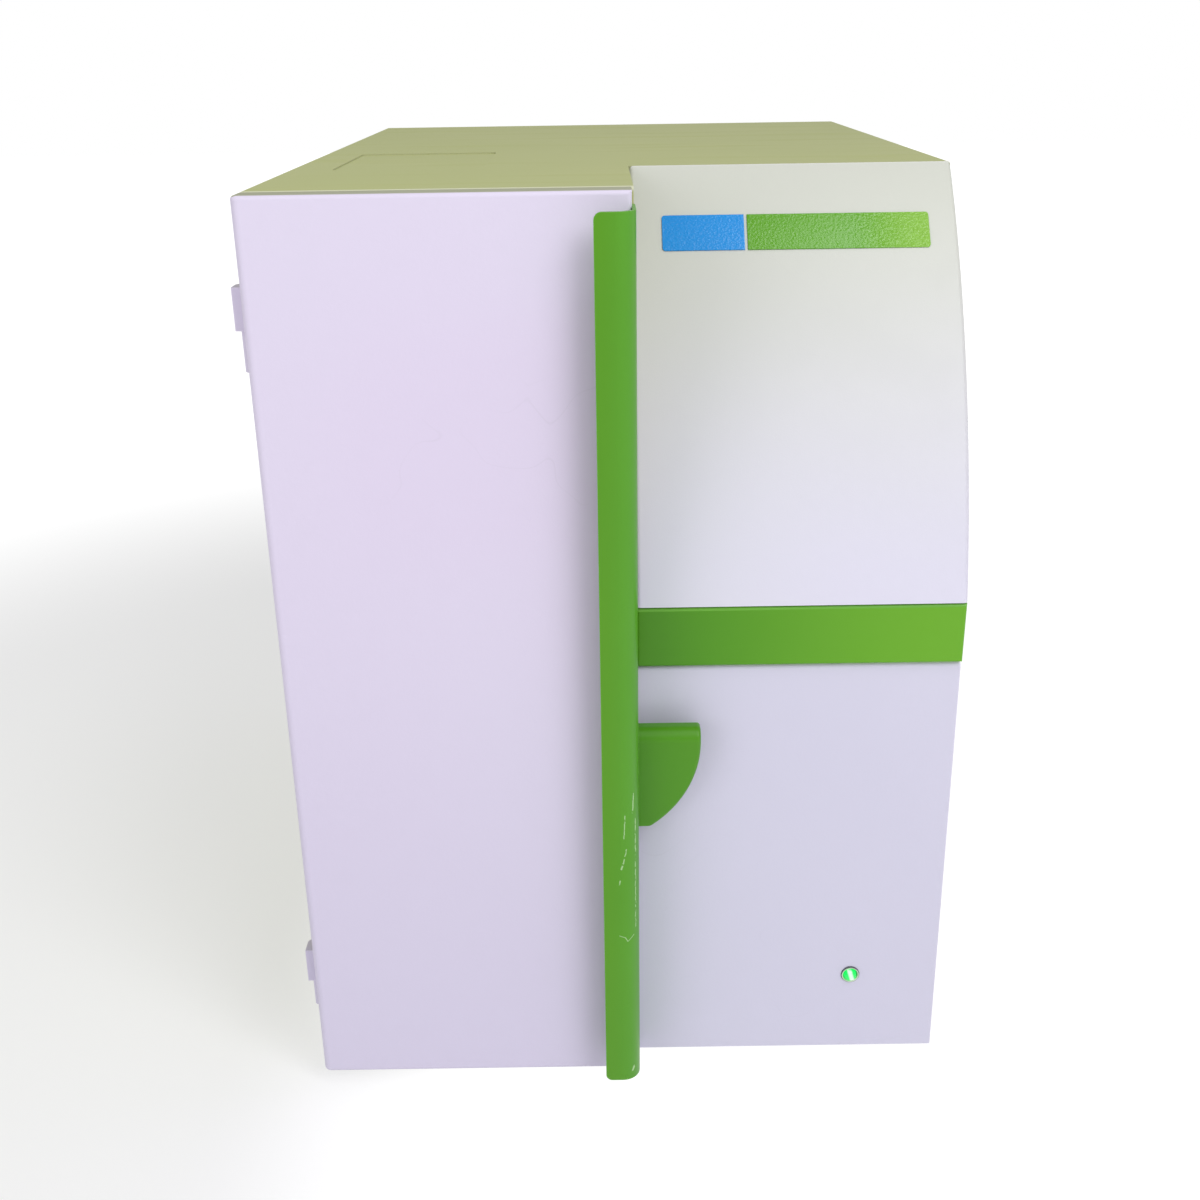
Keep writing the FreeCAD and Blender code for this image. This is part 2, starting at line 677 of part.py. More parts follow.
def screw_head(axis, where, face, outward):
    """The hexagonal head of a small screw, seated on a face; outward is 1 or -1 along the axis."""
    low = face if outward > 0 else face - s.screw_head_height
    return hexagon(axis, where, low, low + s.screw_head_height, s.screw_head)


# Outer cabinet


def nose_y(z, inward):
    """Depth of the curved cover's surface at a height, moved inward from its outer face."""
    radius = s.nose_radius - inward
    return NOSE_Y - root(radius * radius - (z - NOSE_Z) * (z - NOSE_Z))


NOSE_TOP_Y = nose_y(ROOF, ZERO)


def side_vents(body, low, high):
    """A row of upright ventilation slots through a side panel."""
    start = BACK - s.side_vent_back - s.slot_pitch * (s.slot_count - 1) - s.slot_width
    foot = FOOT + s.side_vent_up
    slots = cut_slab(
        body, "X", low, high,
        lambda k: rectangle(k, start, start + s.slot_width, foot, foot + s.slot_height),
    )
    row_of(body, slots, "H_Axis", s.slot_pitch, s.slot_count)


def side_screw_spots():
    """Where the screws hold each side panel: depth and height."""
    y = SHELL_BACK - s.screw_inset
    return [(y, SIDE_TOP - s.screw_inset), (y, FOOT + s.screw_rise)]


def make_left_side():
    body = new_body("left_side_panel")
    inside = LEFT + s.steel_gauge
    slab(body, "X", LEFT, inside, lambda k: rectangle(k, SHELL_FRONT, SHELL_BACK, FOOT, SIDE_TOP))
    side_vents(body, LEFT, inside)


def make_right_side():
    """The right side follows the curved cover, the band and the lower panel along its front edge."""
    body = new_body("right_side_panel")
    inward = s.nose_side + s.seam
    low_front = FRONT + s.panel_back + s.seam
    points = [
        (low_front, FOOT),
        (SHELL_BACK, FOOT),
        (SHELL_BACK, SIDE_TOP),
        (nose_y(SIDE_TOP, inward), SIDE_TOP),
        (nose_y(NOSE_FOOT, inward), NOSE_FOOT),
        (low_front, NOSE_FOOT),
    ]
    slab(
        body, "X", RIGHT - s.steel_gauge, RIGHT,
        lambda k: outline(k, points, {3: (1, s.nose_radius - inward)}),
    )
    side_vents(body, RIGHT - s.steel_gauge, RIGHT)


def make_roof():
    """A folded pan with a notch for the curved cover and a shallow rest for one plate."""
    body = new_body("roof_panel")
    step = COVER_LEFT - s.seam
    seam_y = NOSE_TOP_Y + s.seam
    points = [
        (LEFT, SHELL_FRONT), (step, SHELL_FRONT), (step, seam_y),
        (RIGHT, seam_y), (RIGHT, BACK), (LEFT, BACK),
    ]
    slab(body, "Z", SIDE_TOP, ROOF, lambda k: outline(k, points))

    def outer_top(box):
        outer = at_x(box, LEFT) or at_x(box, RIGHT) or at_y(box, BACK) or at_y(box, SHELL_FRONT)
        return at_z(box, ROOF) and outer

    rounded(body, s.roof_radius, outer_top)
    hollowed(body, s.steel_gauge, lambda box: at_z(box, SIDE_TOP))
    x0, y0 = LEFT + s.recess_left, FRONT + s.recess_front
    x1, y1 = x0 + s.recess_width, y0 + s.recess_length
    r = s.recess_radius
    corners = [
        (x0 + r, y0), (x1 - r, y0), (x1, y0 + r), (x1, y1 - r),
        (x1 - r, y1), (x0 + r, y1), (x0, y1 - r), (x0, y0 + r),
    ]
    bends = {1: (1, r), 3: (1, r), 5: (1, r), 7: (1, r)}
    cut_slab(body, "Z", ROOF - s.recess_depth, ROOF, lambda k: outline(k, corners, bends))


def rear_screw_spots():
    """Where the screws hold the rear panel, from the tray's lip upward."""
    low = FOOT + s.screw_rise
    high = SIDE_TOP - s.screw_inset
    columns = (LEFT + s.screw_inset, RIGHT - s.screw_inset)
    return [(x, z) for z in (low, (low + high) / 2, high) for x in columns]


def fan_centre():
    return RIGHT - s.fan_across, FOOT + s.fan_up


def fan_corners():
    x, z = fan_centre()
    reach = s.fan_size / 2 - s.fan_screw_inset
    return [(x + reach * i, z + reach * j) for i in (-1, 1) for j in (-1, 1)]


def flange_box(centre, width, height, margin):
    """Left, right, lower and upper side of a flange round a centre, moved inward by a margin."""
    x, z = centre
    half_width, half_height = width / 2 - margin, height / 2 - margin
    return x - half_width, x + half_width, z - half_height, z + half_height


def inlet_box(margin):
    centre = (RIGHT - s.inlet_across, FOOT + s.inlet_up)
    return flange_box(centre, s.inlet_width, s.inlet_height, margin)


def port_box(margin):
    centre = (RIGHT - s.port_across, FOOT + s.port_up)
    return flange_box(centre, s.port_width, s.port_height, margin)


def make_rear():
    body = new_body("rear_panel")
    slab(body, "Y", SHELL_BACK, BACK, lambda k: rectangle(k, LEFT, RIGHT, FOOT, SIDE_TOP))
    x, z = fan_centre()
    cut_slab(body, "Y", SHELL_BACK, BACK, lambda k: ring_hole(k, x, z, s.fan_bore))
    cut_slab(body, "Y", SHELL_BACK, BACK, lambda k: rectangle(k, *inlet_box(s.inlet_flange)))
    cut_slab(body, "Y", SHELL_BACK, BACK, lambda k: rectangle(k, *port_box(s.steel_gauge)))
    vent_x = LEFT + s.rear_vent_side
    vent_top = ROOF - s.rear_vent_drop
    slots = cut_slab(
        body, "Y", SHELL_BACK, BACK,
        lambda k: rectangle(k, vent_x, vent_x + s.slot_width, vent_top - s.slot_height, vent_top),
    )
    row_of(body, slots, "H_Axis", s.slot_pitch, s.slot_count)


def foot_spots():
    xs = (LEFT + s.foot_inset_side, RIGHT - s.foot_inset_side)
    ys = (FRONT + s.foot_inset_front, BACK - s.foot_inset_back)
    return [(x, y) for y in ys for x in xs]


def make_base():
    """A folded tray, stepped so that it ends behind the door frame and behind the lower panel."""
    body = new_body("base_tray")
    side = s.steel_gauge
    step = DIVIDER + 2 * side
    bay_front = SHELL_FRONT + side
    front = FRONT + s.panel_back + s.seam
    points = [
        (LEFT + side, bay_front),
        (step, bay_front),
        (step, front),
        (RIGHT - side, front),
        (RIGHT - side, SHELL_BACK),
        (LEFT + side, SHELL_BACK),
    ]
    slab(body, "Z", FOOT, FOOT + s.tray_lip, lambda k: outline(k, points))
    hollowed(body, side, lambda box: at_z(box, FOOT + s.tray_lip))


def make_feet():
    """Rubber feet under the tray, each held by a nut on the tray's floor."""
    spots = foot_spots()
    keep("rubber_feet", group([rod("Z", spot, ZERO, FOOT, s.foot_radius) for spot in spots]))
    top = TRAY_TOP + s.foot_nut_height
    keep("foot_screws", group([hexagon("Z", spot, TRAY_TOP, top, s.foot_nut) for spot in spots]))


def make_panel_screws():
    rear = [screw_head("Y", spot, BACK, 1) for spot in rear_screw_spots()]
    fan = [screw_head("Y", spot, guard_face(), 1) for spot in fan_corners()]
    left = [screw_head("X", spot, LEFT, -1) for spot in side_screw_spots()]
    right = [screw_head("X", spot, RIGHT, 1) for spot in side_screw_spots()]
    keep("panel_screws", group(rear + fan + left + right))


# Curved cover, band, badge and lower panel


def make_nose():
    """A moulded shell: an arc for the front, two side walls and stiffening ribs."""
    body = new_body("curved_cover")
    wall, side = s.nose_wall, s.nose_side
    skin = [
        (nose_y(ROOF, ZERO), ROOF),
        (nose_y(NOSE_FOOT, ZERO), NOSE_FOOT),
        (nose_y(NOSE_FOOT, wall), NOSE_FOOT),
        (nose_y(SIDE_TOP, wall), SIDE_TOP),
        (NOSE_TOP_Y, SIDE_TOP),
    ]
    slab(
        body, "X", COVER_LEFT, RIGHT,
        lambda k: outline(k, skin, {0: (1, s.nose_radius), 2: (-1, s.nose_radius - wall)}),
    )
    cheek = [
        (nose_y(SIDE_TOP, ZERO), SIDE_TOP),
        (nose_y(NOSE_FOOT, ZERO), NOSE_FOOT),
        (nose_y(NOSE_FOOT, side), NOSE_FOOT),
        (nose_y(SIDE_TOP, side), SIDE_TOP),
    ]
    for low in (COVER_LEFT, RIGHT - wall):
        slab(
            body, "X", low, low + wall,
            lambda k: outline(k, cheek, {0: (1, s.nose_radius), 2: (-1, s.nose_radius - side)}),
        )
    for index in range(3):
        z = NOSE_FOOT + s.rib_first + s.rib_pitch * index
        near_y = nose_y(z, wall / 2)
        slab(
            body, "Z", z, z + s.rib_gauge,
            lambda k: rectangle(k, COVER_LEFT + wall / 2, RIGHT - wall / 2, near_y, near_y + s.rib_depth),
        )

    def side_edges(box):
        forward = near(box.YMin, (FRONT + s.nose_setback).number)
        tall = box.ZLength > s.nose_side.number
        return tall and forward and (at_x(box, COVER_LEFT) or at_x(box, RIGHT))

    rounded(body, s.nose_round, side_edges)


def make_band():
    body = new_body("trim_band")
    top = NOSE_FOOT - s.band_gap
    foot = top - s.band_height
    y = FRONT + s.band_setback
    slab(body, "Z", foot, top, lambda k: rectangle(k, COVER_LEFT, RIGHT, y, FRONT + s.panel_back))
    rounded(body, s.band_round, lambda box: at_y(box, y))
    wall = s.nose_wall
    cut_slab(
        body, "Y", y + wall, FRONT + s.panel_back,
        lambda k: rectangle(k, COVER_LEFT + wall, RIGHT - wall, foot + wall, top - wall),
    )


def panel_top():
    return NOSE_FOOT - s.band_gap - s.band_height - s.band_gap


def make_lower_panel():
    body = new_body("lower_front_panel")
    top, foot = panel_top(), panel_foot()
    back = FRONT + s.panel_back
    section = [(panel_y(top), top), (panel_y(foot), foot), (back, foot), (back, top)]
    slab(body, "X", COVER_LEFT, RIGHT, lambda k: outline(k, section))
    rounded(body, s.panel_round, lambda box: at_y(box, panel_y(top)) and at_z(box, top))
    hollowed(body, s.steel_gauge, lambda box: at_y(box, back))
    x, z = button_spot()
    cut_slab(body, "Y", panel_y(foot), panel_y(top), lambda k: ring_hole(k, x, z, bezel_barrel()))


def panel_foot():
    return FOOT + s.panel_reveal


def panel_y(z):
    """Depth of the raked lower panel's face at a height."""
    return FRONT + s.panel_setback - s.panel_rake * (panel_top() - z) / (panel_top() - panel_foot())


def button_spot():
    return RIGHT - s.button_across, FOOT + s.button_up


def bezel_barrel():
    return s.button_radius + s.button_clearance + s.bezel_wall


def make_badge():
    """Two thin plates bent to the curved cover, side by side."""
    top = ROOF - s.badge_drop
    foot = top - s.badge_height
    lift = s.badge_thickness
    section = [
        (nose_y(top, ZERO), top),
        (nose_y(top, -lift), top),
        (nose_y(foot, -lift), foot),
        (nose_y(foot, ZERO), foot),
    ]
    bends = {1: (1, s.nose_radius + lift), 3: (-1, s.nose_radius)}
    start = COVER_LEFT + s.badge_left
    second = start + s.badge_short + s.badge_split
    plates = [
        ("badge_plate_short", start, start + s.badge_short),
        ("badge_plate_long", second, second + s.badge_long),
    ]
    for label, low, high in plates:
        body = new_body(label)
        slab(body, "X", low, high, lambda k: outline(k, section, bends))


def make_button():
    spot = button_spot()
    barrel = bezel_barrel()
    lip_radius = barrel + s.bezel_lip
    face = panel_y(spot[1] - lip_radius)
    lens_front = face - s.button_proud
    lens_back = lens_front + s.button_length
    bore = s.button_radius + s.button_clearance
    back = lens_back + s.button_travel + s.running_gap
    shoulder = lens_front + s.lens_bevel
    bevel = cone("Y", spot, lens_front, shoulder, s.button_radius - s.lens_bevel, s.button_radius)
    keep("button_lens", fuse([bevel, rod("Y", spot, shoulder, lens_back, s.button_radius)]))
    lip = rod("Y", spot, face - s.bezel_proud, face, lip_radius)
    barrel_and_switch = rod("Y", spot, face - s.bezel_proud / 2, back + s.switch_length, barrel)
    well = rod("Y", spot, face - 2 * s.bezel_proud, back, bore)
    keep("button_bezel", cut(fuse([lip, barrel_and_switch]), well))


# Door and what it carries


def make_door():
    skin = new_body("door_skin")
    left, right, back = LEFT, LEFT + s.door_width, FRONT + s.door_thickness
    foot, top = FOOT, ROOF
    slab(skin, "Y", FRONT, back, lambda k: rectangle(k, left, right, foot, top))
    rounded(skin, s.door_edge_radius, lambda box: at_y(box, FRONT) and at_x(box, left))

    def rim(box):
        return at_y(box, FRONT) and (at_z(box, top) or at_z(box, foot) or at_x(box, right))

    rounded(skin, s.door_rim_radius, rim)
    gauge = s.door_gauge
    inner = (left + gauge, right - gauge, foot + gauge, top - gauge)
    cut_slab(skin, "Y", FRONT + gauge, back, lambda k: rectangle(k, *inner))
    rounded(
        skin, s.door_edge_radius - gauge,
        lambda box: at_x(box, left + gauge) and at_y(box, FRONT + gauge),
    )
    liner = new_body("door_liner")
    slab(liner, "Y", back - s.liner_gauge, back, lambda k: rectangle(k, *inner))
    panel = grown(inner, -s.liner_border)
    cut_slab(liner, "Y", back - s.liner_sink, back, lambda k: rectangle(k, *panel))


def opening():
    return LEFT + s.opening_left, DIVIDER - s.opening_right, FOOT + s.opening_foot, ROOF - s.opening_head


def grown(box, margin):
    return box[0] - margin, box[1] + margin, box[2] - margin, box[3] + margin


def make_door_frame():
    """A plate behind the door with a folded sleeve round the opening."""
    body = new_body("door_frame")
    plate_back = SHELL_FRONT + s.steel_gauge

    def plate(k):
        rectangle(k, LEFT + s.steel_gauge, DIVIDER + s.steel_gauge, TRAY_TOP, SIDE_TOP)
        rectangle(k, *opening())

    def sleeve(k):
        rectangle(k, *grown(opening(), s.steel_gauge))
        rectangle(k, *opening())

    slab(body, "Y", SHELL_FRONT, plate_back, plate)
    slab(body, "Y", plate_back - s.steel_gauge / 2, plate_back + s.frame_depth, sleeve)
    seal = new_body("door_seal")

    def lips(k):
        rectangle(k, *grown(opening(), s.seal_margin + s.seal_width))
        rectangle(k, *grown(opening(), s.seal_margin))

    slab(seal, "Y", FRONT + s.door_thickness + s.running_gap, SHELL_FRONT, lips)


def make_pull_bar():
    """A sheet bent to a hook: a flat lip, a round bend and a return screwed on from inside the door."""
    body = new_body("pull_bar")
    gauge, bend = s.pull_gauge, s.pull_radius
    right = LEFT + s.door_width + gauge
    front = FRONT - s.pull_stand
    lip = right - s.pull_width
    end = FRONT + s.pull_return
    points = [
        (lip, front),
        (right - bend, front),
        (right, front + bend),
        (right, end),
        (right - gauge, end),
        (right - gauge, front + bend),
        (right - bend, front + gauge),
        (lip, front + gauge),
    ]
    foot, top = pull_ends()
    slab(body, "Z", foot, top, lambda k: outline(k, points, {1: (1, bend), 5: (-1, bend - gauge)}))
    rounded(body, s.pull_corner, lambda box: at_x(box, lip) and (at_z(box, foot) or at_z(box, top)))
    spots = [(FRONT + s.pull_return / 2, z) for z in pull_screw_heights()]
    inner_face = LEFT + s.door_width - s.door_gauge
    keep("pull_bar_screws", group([screw_head("X", spot, inner_face, -1) for spot in spots]))


def pull_ends():
    return FOOT + s.pull_foot, ROOF - s.pull_head


def pull_screw_heights():
    """Two screws near each end of the bar."""
    foot, top = pull_ends()
    insets = (s.pull_screw_inset, s.pull_screw_inset + s.pull_screw_step)
    return [foot + inset for inset in insets] + [top - inset for inset in insets]


def grip_solid(body, inset):
    """The grip's form, moved inward on every side by an inset."""
    left = LEFT + s.door_width + s.pull_gauge
    top = FOOT + s.grip_top
    foot = top - s.grip_height
    waist = top - s.grip_shoulder
    front, back = FRONT - s.grip_proud + inset, FRONT + s.grip_back
    points = [
        (left + inset, foot + inset),
        (left + s.grip_toe, foot + inset),
        (left + s.grip_width - inset, waist),
        (left + s.grip_width - inset, top - inset),
        (left + inset, top - inset),
    ]
    slab(body, "Y", front, back, lambda k: outline(k, points, {1: (1, s.grip_arc)}))
    ahead = front - s.overcut
    wedge = [(ahead, foot), (front + s.grip_slope, foot), (front, top), (ahead, top)]
    cut_slab(body, "X", left - s.overcut, left + s.grip_width + s.overcut, lambda k: outline(k, wedge))

    limit = (front + s.grip_slope).number

    def front_top(box):
        return at_z(box, top - inset) and near(box.YMin, box.YMax) and box.YMax < limit

    rounded(body, s.grip_round - inset, front_top)
    return left + s.grip_width, top


def make_grip():
    """A hollow quarter-round grip beside the bar, thick at its top and thin at its toe."""
    outer = doc.addObject("PartDesign::Body", "GripOuter")
    side, top = grip_solid(outer, ZERO)
    rounded(outer, s.grip_corner, lambda box: at_x(box, side) and at_z(box, top))
    core = doc.addObject("PartDesign::Body", "GripCore")
    grip_solid(core, s.grip_wall)
    keep("finger_grip", cut(outer, core))


def hinge_axis():
    return LEFT - s.hinge_out, FRONT + s.hinge_in


def hinge_joints():
    return [ROOF - s.hinge_drop, FOOT + s.hinge_rise]


def make_hinges():
    x, y = hinge_axis()
    leaves, posts, pins = [], [], []
    radius = s.hinge_reach - s.hinge_out
    back = FRONT + s.door_thickness
    fit = s.hinge_pin_radius + s.fit_clearance
    for joint in hinge_joints():
        low, high = joint + s.running_gap, joint + s.hinge_knuckle
        plate = block(x - radius, LEFT + s.hinge_leaf_inset, back, back + s.hinge_leaf, low, high)
        web = block(x - radius, x + radius, back + s.hinge_leaf / 2, y, low, high)
        knuckle = rod("Z", (x, y), low, high, radius)
        leaves.append(cut(fuse([plate, web, knuckle]), rod("Z", (x, y), low, high - s.hinge_cap, fit)))
        post_low = joint - s.hinge_knuckle
        post = rod("Z", (x, y), post_low, joint, s.hinge_post_radius)
        flag = block(x, LEFT, y - s.hinge_post_radius, y + 3 * s.hinge_post_radius, post_low, joint)
        socket = post_low + s.hinge_cap
        posts.append(cut(fuse([post, flag]), rod("Z", (x, y), socket, joint, s.hinge_pin_radius)))
        pins.append(rod("Z", (x, y), socket, high - s.hinge_cap - s.running_gap, s.hinge_pin_radius))
    keep("hinge_door_leaves", group(leaves))
    keep("hinge_posts", group(posts))
    keep("hinge_pins", group(pins))


def make_catch():
    """A magnet on the side of the door opening and the steel strike that it holds."""
    right = opening()[1]
    back = FRONT + s.door_thickness
    low = FOOT + s.catch_up
    high = low + s.catch_height
    far = right - s.strike_reach
    near_side = right - s.running_gap
    strike_back = back + s.strike_gauge
    keep("catch_strike", block(far, near_side, back, strike_back, low, high))
    magnet_front = strike_back + s.running_gap
    inset = s.magnet_inset
    magnet = block(far, right, magnet_front, magnet_front + s.magnet_depth, low + inset, high - inset)
    keep("catch_magnet", magnet)


# Plate bay: divider, floor, magazine


def make_bay():
    """The divider stands in the tray behind its lip, and the floor starts behind the opening's sleeve."""
    body = new_body("bay_divider")
    plate_back = SHELL_FRONT + s.steel_gauge
    start = plate_back + s.steel_gauge
    slab(
        body, "X", DIVIDER, DIVIDER + s.steel_gauge,
        lambda k: rectangle(k, start, start + s.divider_length, TRAY_TOP, SIDE_TOP),
    )
    y0, z0 = FRONT + s.window_front, FOOT + s.window_foot
    cut_slab(
        body, "X", DIVIDER, DIVIDER + s.steel_gauge,
        lambda k: rectangle(k, y0, y0 + s.window_length, z0, z0 + s.window_height),
    )
    floor = new_body("bay_floor")
    front = plate_back + s.frame_depth
    gauge = s.steel_gauge
    left, right = LEFT + 2 * gauge, DIVIDER
    fold = [
        (left, TRAY_TOP),
        (left + gauge, TRAY_TOP),
        (left + gauge, BAY_FLOOR - gauge),
        (right - gauge, BAY_FLOOR - gauge),
        (right - gauge, TRAY_TOP),
        (right, TRAY_TOP),
        (right, BAY_FLOOR),
        (left, BAY_FLOOR),
    ]
    slab(floor, "Y", front, front + s.bay_floor_length, lambda k: outline(k, fold))
    x, y = motor_spot()
    cut_slab(floor, "Z", BAY_FLOOR - s.steel_gauge, BAY_FLOOR, lambda k: ring_hole(k, x, y, s.shaft_hole))


def magazine_top():
    return ROOF - s.magazine_drop


def shelf_heights():
    """As many shelves as the magazine has room for."""
    first = BAY_FLOOR + s.shelf_first
    room = magazine_top() - s.shelf_head - first
    count = int(room.number / s.shelf_pitch.number) + 1
    return [first + s.shelf_pitch * i for i in range(count)]


def make_magazine():
    x0 = BAY_MIDDLE - s.magazine_width / 2
    x1 = x0 + s.magazine_width
    y0 = FRONT + s.magazine_front
    y1 = y0 + s.magazine_length
    top = magazine_top()
    wall = s.steel_gauge
    sides = [block(x, x + wall, y0, y1, BAY_FLOOR, top) for x in (x0, x1 - wall)]
    ends = [block(x0 + wall, x1 - wall, y0, y1, z, z + wall) for z in (BAY_FLOOR, top - wall)]
    stop = s.shelf_width
    stops = [block(x, x + stop, y1, y1 + wall, BAY_FLOOR, top) for x in (x0, x1 - stop)]
    keep("magazine_frame", group(sides + ends + stops))
    ledges = []
    for z in shelf_heights():
        for low in (x0 + wall, x1 - wall - s.shelf_width):
            ledges.append(block(low, low + s.shelf_width, y0 + wall, y1 - wall, z, z + s.shelf_gauge))
    keep("shelf_ledges", group(ledges))


# Lift


def rod_spots():
    half = s.rod_spacing / 2
    y = FRONT + s.rod_back
    return [(BAY_MIDDLE - half, y), (BAY_MIDDLE + half, y)]


def screw_spot():
    return BAY_MIDDLE, FRONT + s.screw_back


def motor_spot():
    x, y = screw_spot()
    return x + s.motor_offset, y


def lift_level():
    return BAY_FLOOR + s.lift_rest


def rods_top():
    return ROOF - s.head_drop


def make_lift_frame():
    top = rods_top()
    keep("guide_rods", group([rod("Z", spot, BAY_FLOOR, top, s.rod_radius) for spot in rod_spots()]))
    head = new_body("lift_head_plate")
    low = top - s.head_gauge
    y0 = FRONT + s.head_front
    y1 = y0 + s.head_length
    slab(head, "Z", low, top, lambda k: rectangle(k, LEFT + s.steel_gauge, DIVIDER, y0, y1))

    def seats(k):
        for x, y in rod_spots():
            ring_hole(k, x, y, s.rod_radius)
        ring_hole(k, *screw_spot(), s.screw_radius + s.bearing_wall)

    cut_slab(head, "Z", low, top, seats)
    outer = s.screw_radius + s.bearing_wall
    inner = s.screw_radius + s.fit_clearance
    foot = tube("Z", screw_spot(), BAY_FLOOR, BAY_FLOOR + s.bearing_height, outer, inner)
    upper = tube("Z", screw_spot(), low, top, outer, inner)
    keep("screw_bearings", group([foot, upper]))


def make_lift_drive():
    spot, motor = screw_spot(), motor_spot()
    foot = BAY_FLOOR + s.running_gap
    keep("lead_screw", rod("Z", spot, foot, rods_top(), s.screw_radius))
    low = BAY_FLOOR + s.pulley_up
    high = low + s.pulley_height
    keep("screw_pulley", tube("Z", spot, low, high, s.pulley_radius, s.screw_radius))
    x, y = motor
    half = s.motor_size / 2
    ceiling = BAY_FLOOR - s.steel_gauge
    shaft = rod("Z", motor, ceiling + s.running_gap, high + s.shaft_stub, s.motor_shaft)
    keep("motor_pulley", fuse([rod("Z", motor, low, high, s.pulley_radius), shaft]))
    keep("lift_motor", block(x - half, x + half, y - half, y + half, TRAY_TOP, ceiling))
    belt = new_body("drive_belt")
    inner = s.pulley_radius + s.running_gap

    def loop(k, radius):
        (x0, y0), (x1, _) = spot, motor
        corners = [
            (x0, y0 - radius), (x1, y0 - radius), (x1 + radius, y0),
            (x1, y0 + radius), (x0, y0 + radius), (x0 - radius, y0),
        ]
        outline(k, corners, {i: (1, radius) for i in (1, 2, 4, 5)})

    def both(k):
        loop(k, inner + s.belt_gauge)
        loop(k, inner)

    slab(belt, "Z", low + s.belt_margin, high - s.belt_margin, both)


def make_carriage():
    body = new_body("lift_carriage")
    level = lift_level()
    x0, y0 = BAY_MIDDLE - s.table_width / 2, FRONT + s.table_front
    slab(
        body, "Z", level, level + s.table_gauge,
        lambda k: rectangle(k, x0, x0 + s.table_width, y0, y0 + s.table_length),
    )
    (rx, ry), (rx1, _) = rod_spots()
    half = s.beam_depth / 2
    foot = level - s.beam_height
    slab(
        body, "Z", foot, level,
        lambda k: rectangle(k, rx - s.beam_overhang, rx1 + s.beam_overhang, ry - half, ry + half),
    )
    sx, sy = screw_spot()
    slab(body, "Z", foot, level, lambda k: rectangle(k, sx - half, sx + half, ry, sy + half))

    nut = s.nut_side / 2

    def bores(k):
        for x, y in rod_spots():
            ring_hole(k, x, y, s.rod_radius + s.bush_wall)
        rectangle(k, sx - nut, sx + nut, sy - nut, sy + nut)

    cut_slab(body, "Z", foot, level, bores)
    bushes = [
        tube("Z", spot, foot, level, s.rod_radius + s.bush_wall, s.rod_radius + s.fit_clearance)
        for spot in rod_spots()
    ]
    keep("guide_bushes", group(bushes))
    nut_foot = foot - s.nut_reach
    bore = rod("Z", (sx, sy), nut_foot, level, s.screw_radius + s.fit_clearance)
    keep("lift_nut", cut(block(sx - nut, sx + nut, sy - nut, sy + nut, nut_foot, level), bore))


def fork_side():
    x, _ = screw_spot()
    return x - s.fork_width / 2


def make_fork():
    body = new_body("pickup_fork")
    low = lift_level() + s.table_gauge + s.running_gap
    high = low + s.fork_gauge
    x0 = fork_side()
    x1 = x0 + s.fork_width
    y0 = FRONT + s.table_front + s.fork_set
    y1 = y0 + s.fork_length
    slab(body, "Z", low, high, lambda k: rectangle(k, x0, x1, y0, y1))
    slab(body, "Z", low, high + s.fork_hook, lambda k: rectangle(k, x0, x1, y0, y0 + s.fork_gauge))
    bar, start = s.fork_bar, y0 + s.fork_bridge
    cut_slab(
        body, "Z", low, high,
        lambda k: rectangle(k, x0 + bar, x1 - bar, start, start + s.fork_notch),
    )
    base = lift_level() + s.table_gauge
    gap = s.running_gap
    guides = [
        block(x0 - gap - s.guide_width, x0 - gap, y0, y1, base, base + s.guide_height),
        block(x1 + gap, x1 + gap + s.guide_width, y0, y1, base, base + s.guide_height),
    ]
    keep("fork_guides", group(guides))


# Counting chamber


def shield_box():
    y0 = FRONT + s.shield_front
    x0 = DIVIDER + s.steel_gauge + s.shield_left
    return x0, RIGHT - s.steel_gauge - s.shield_right, y0, y0 + s.shield_length


def tube_spots():
    """Three tubes in a row, the same above and below the chamber."""
    x0, x1, y0, y1 = shield_box()
    cx, cy = (x0 + x1) / 2, (y0 + y1) / 2
    return [(cx + s.tube_pitch * i, cy) for i in (-1, 0, 1)]


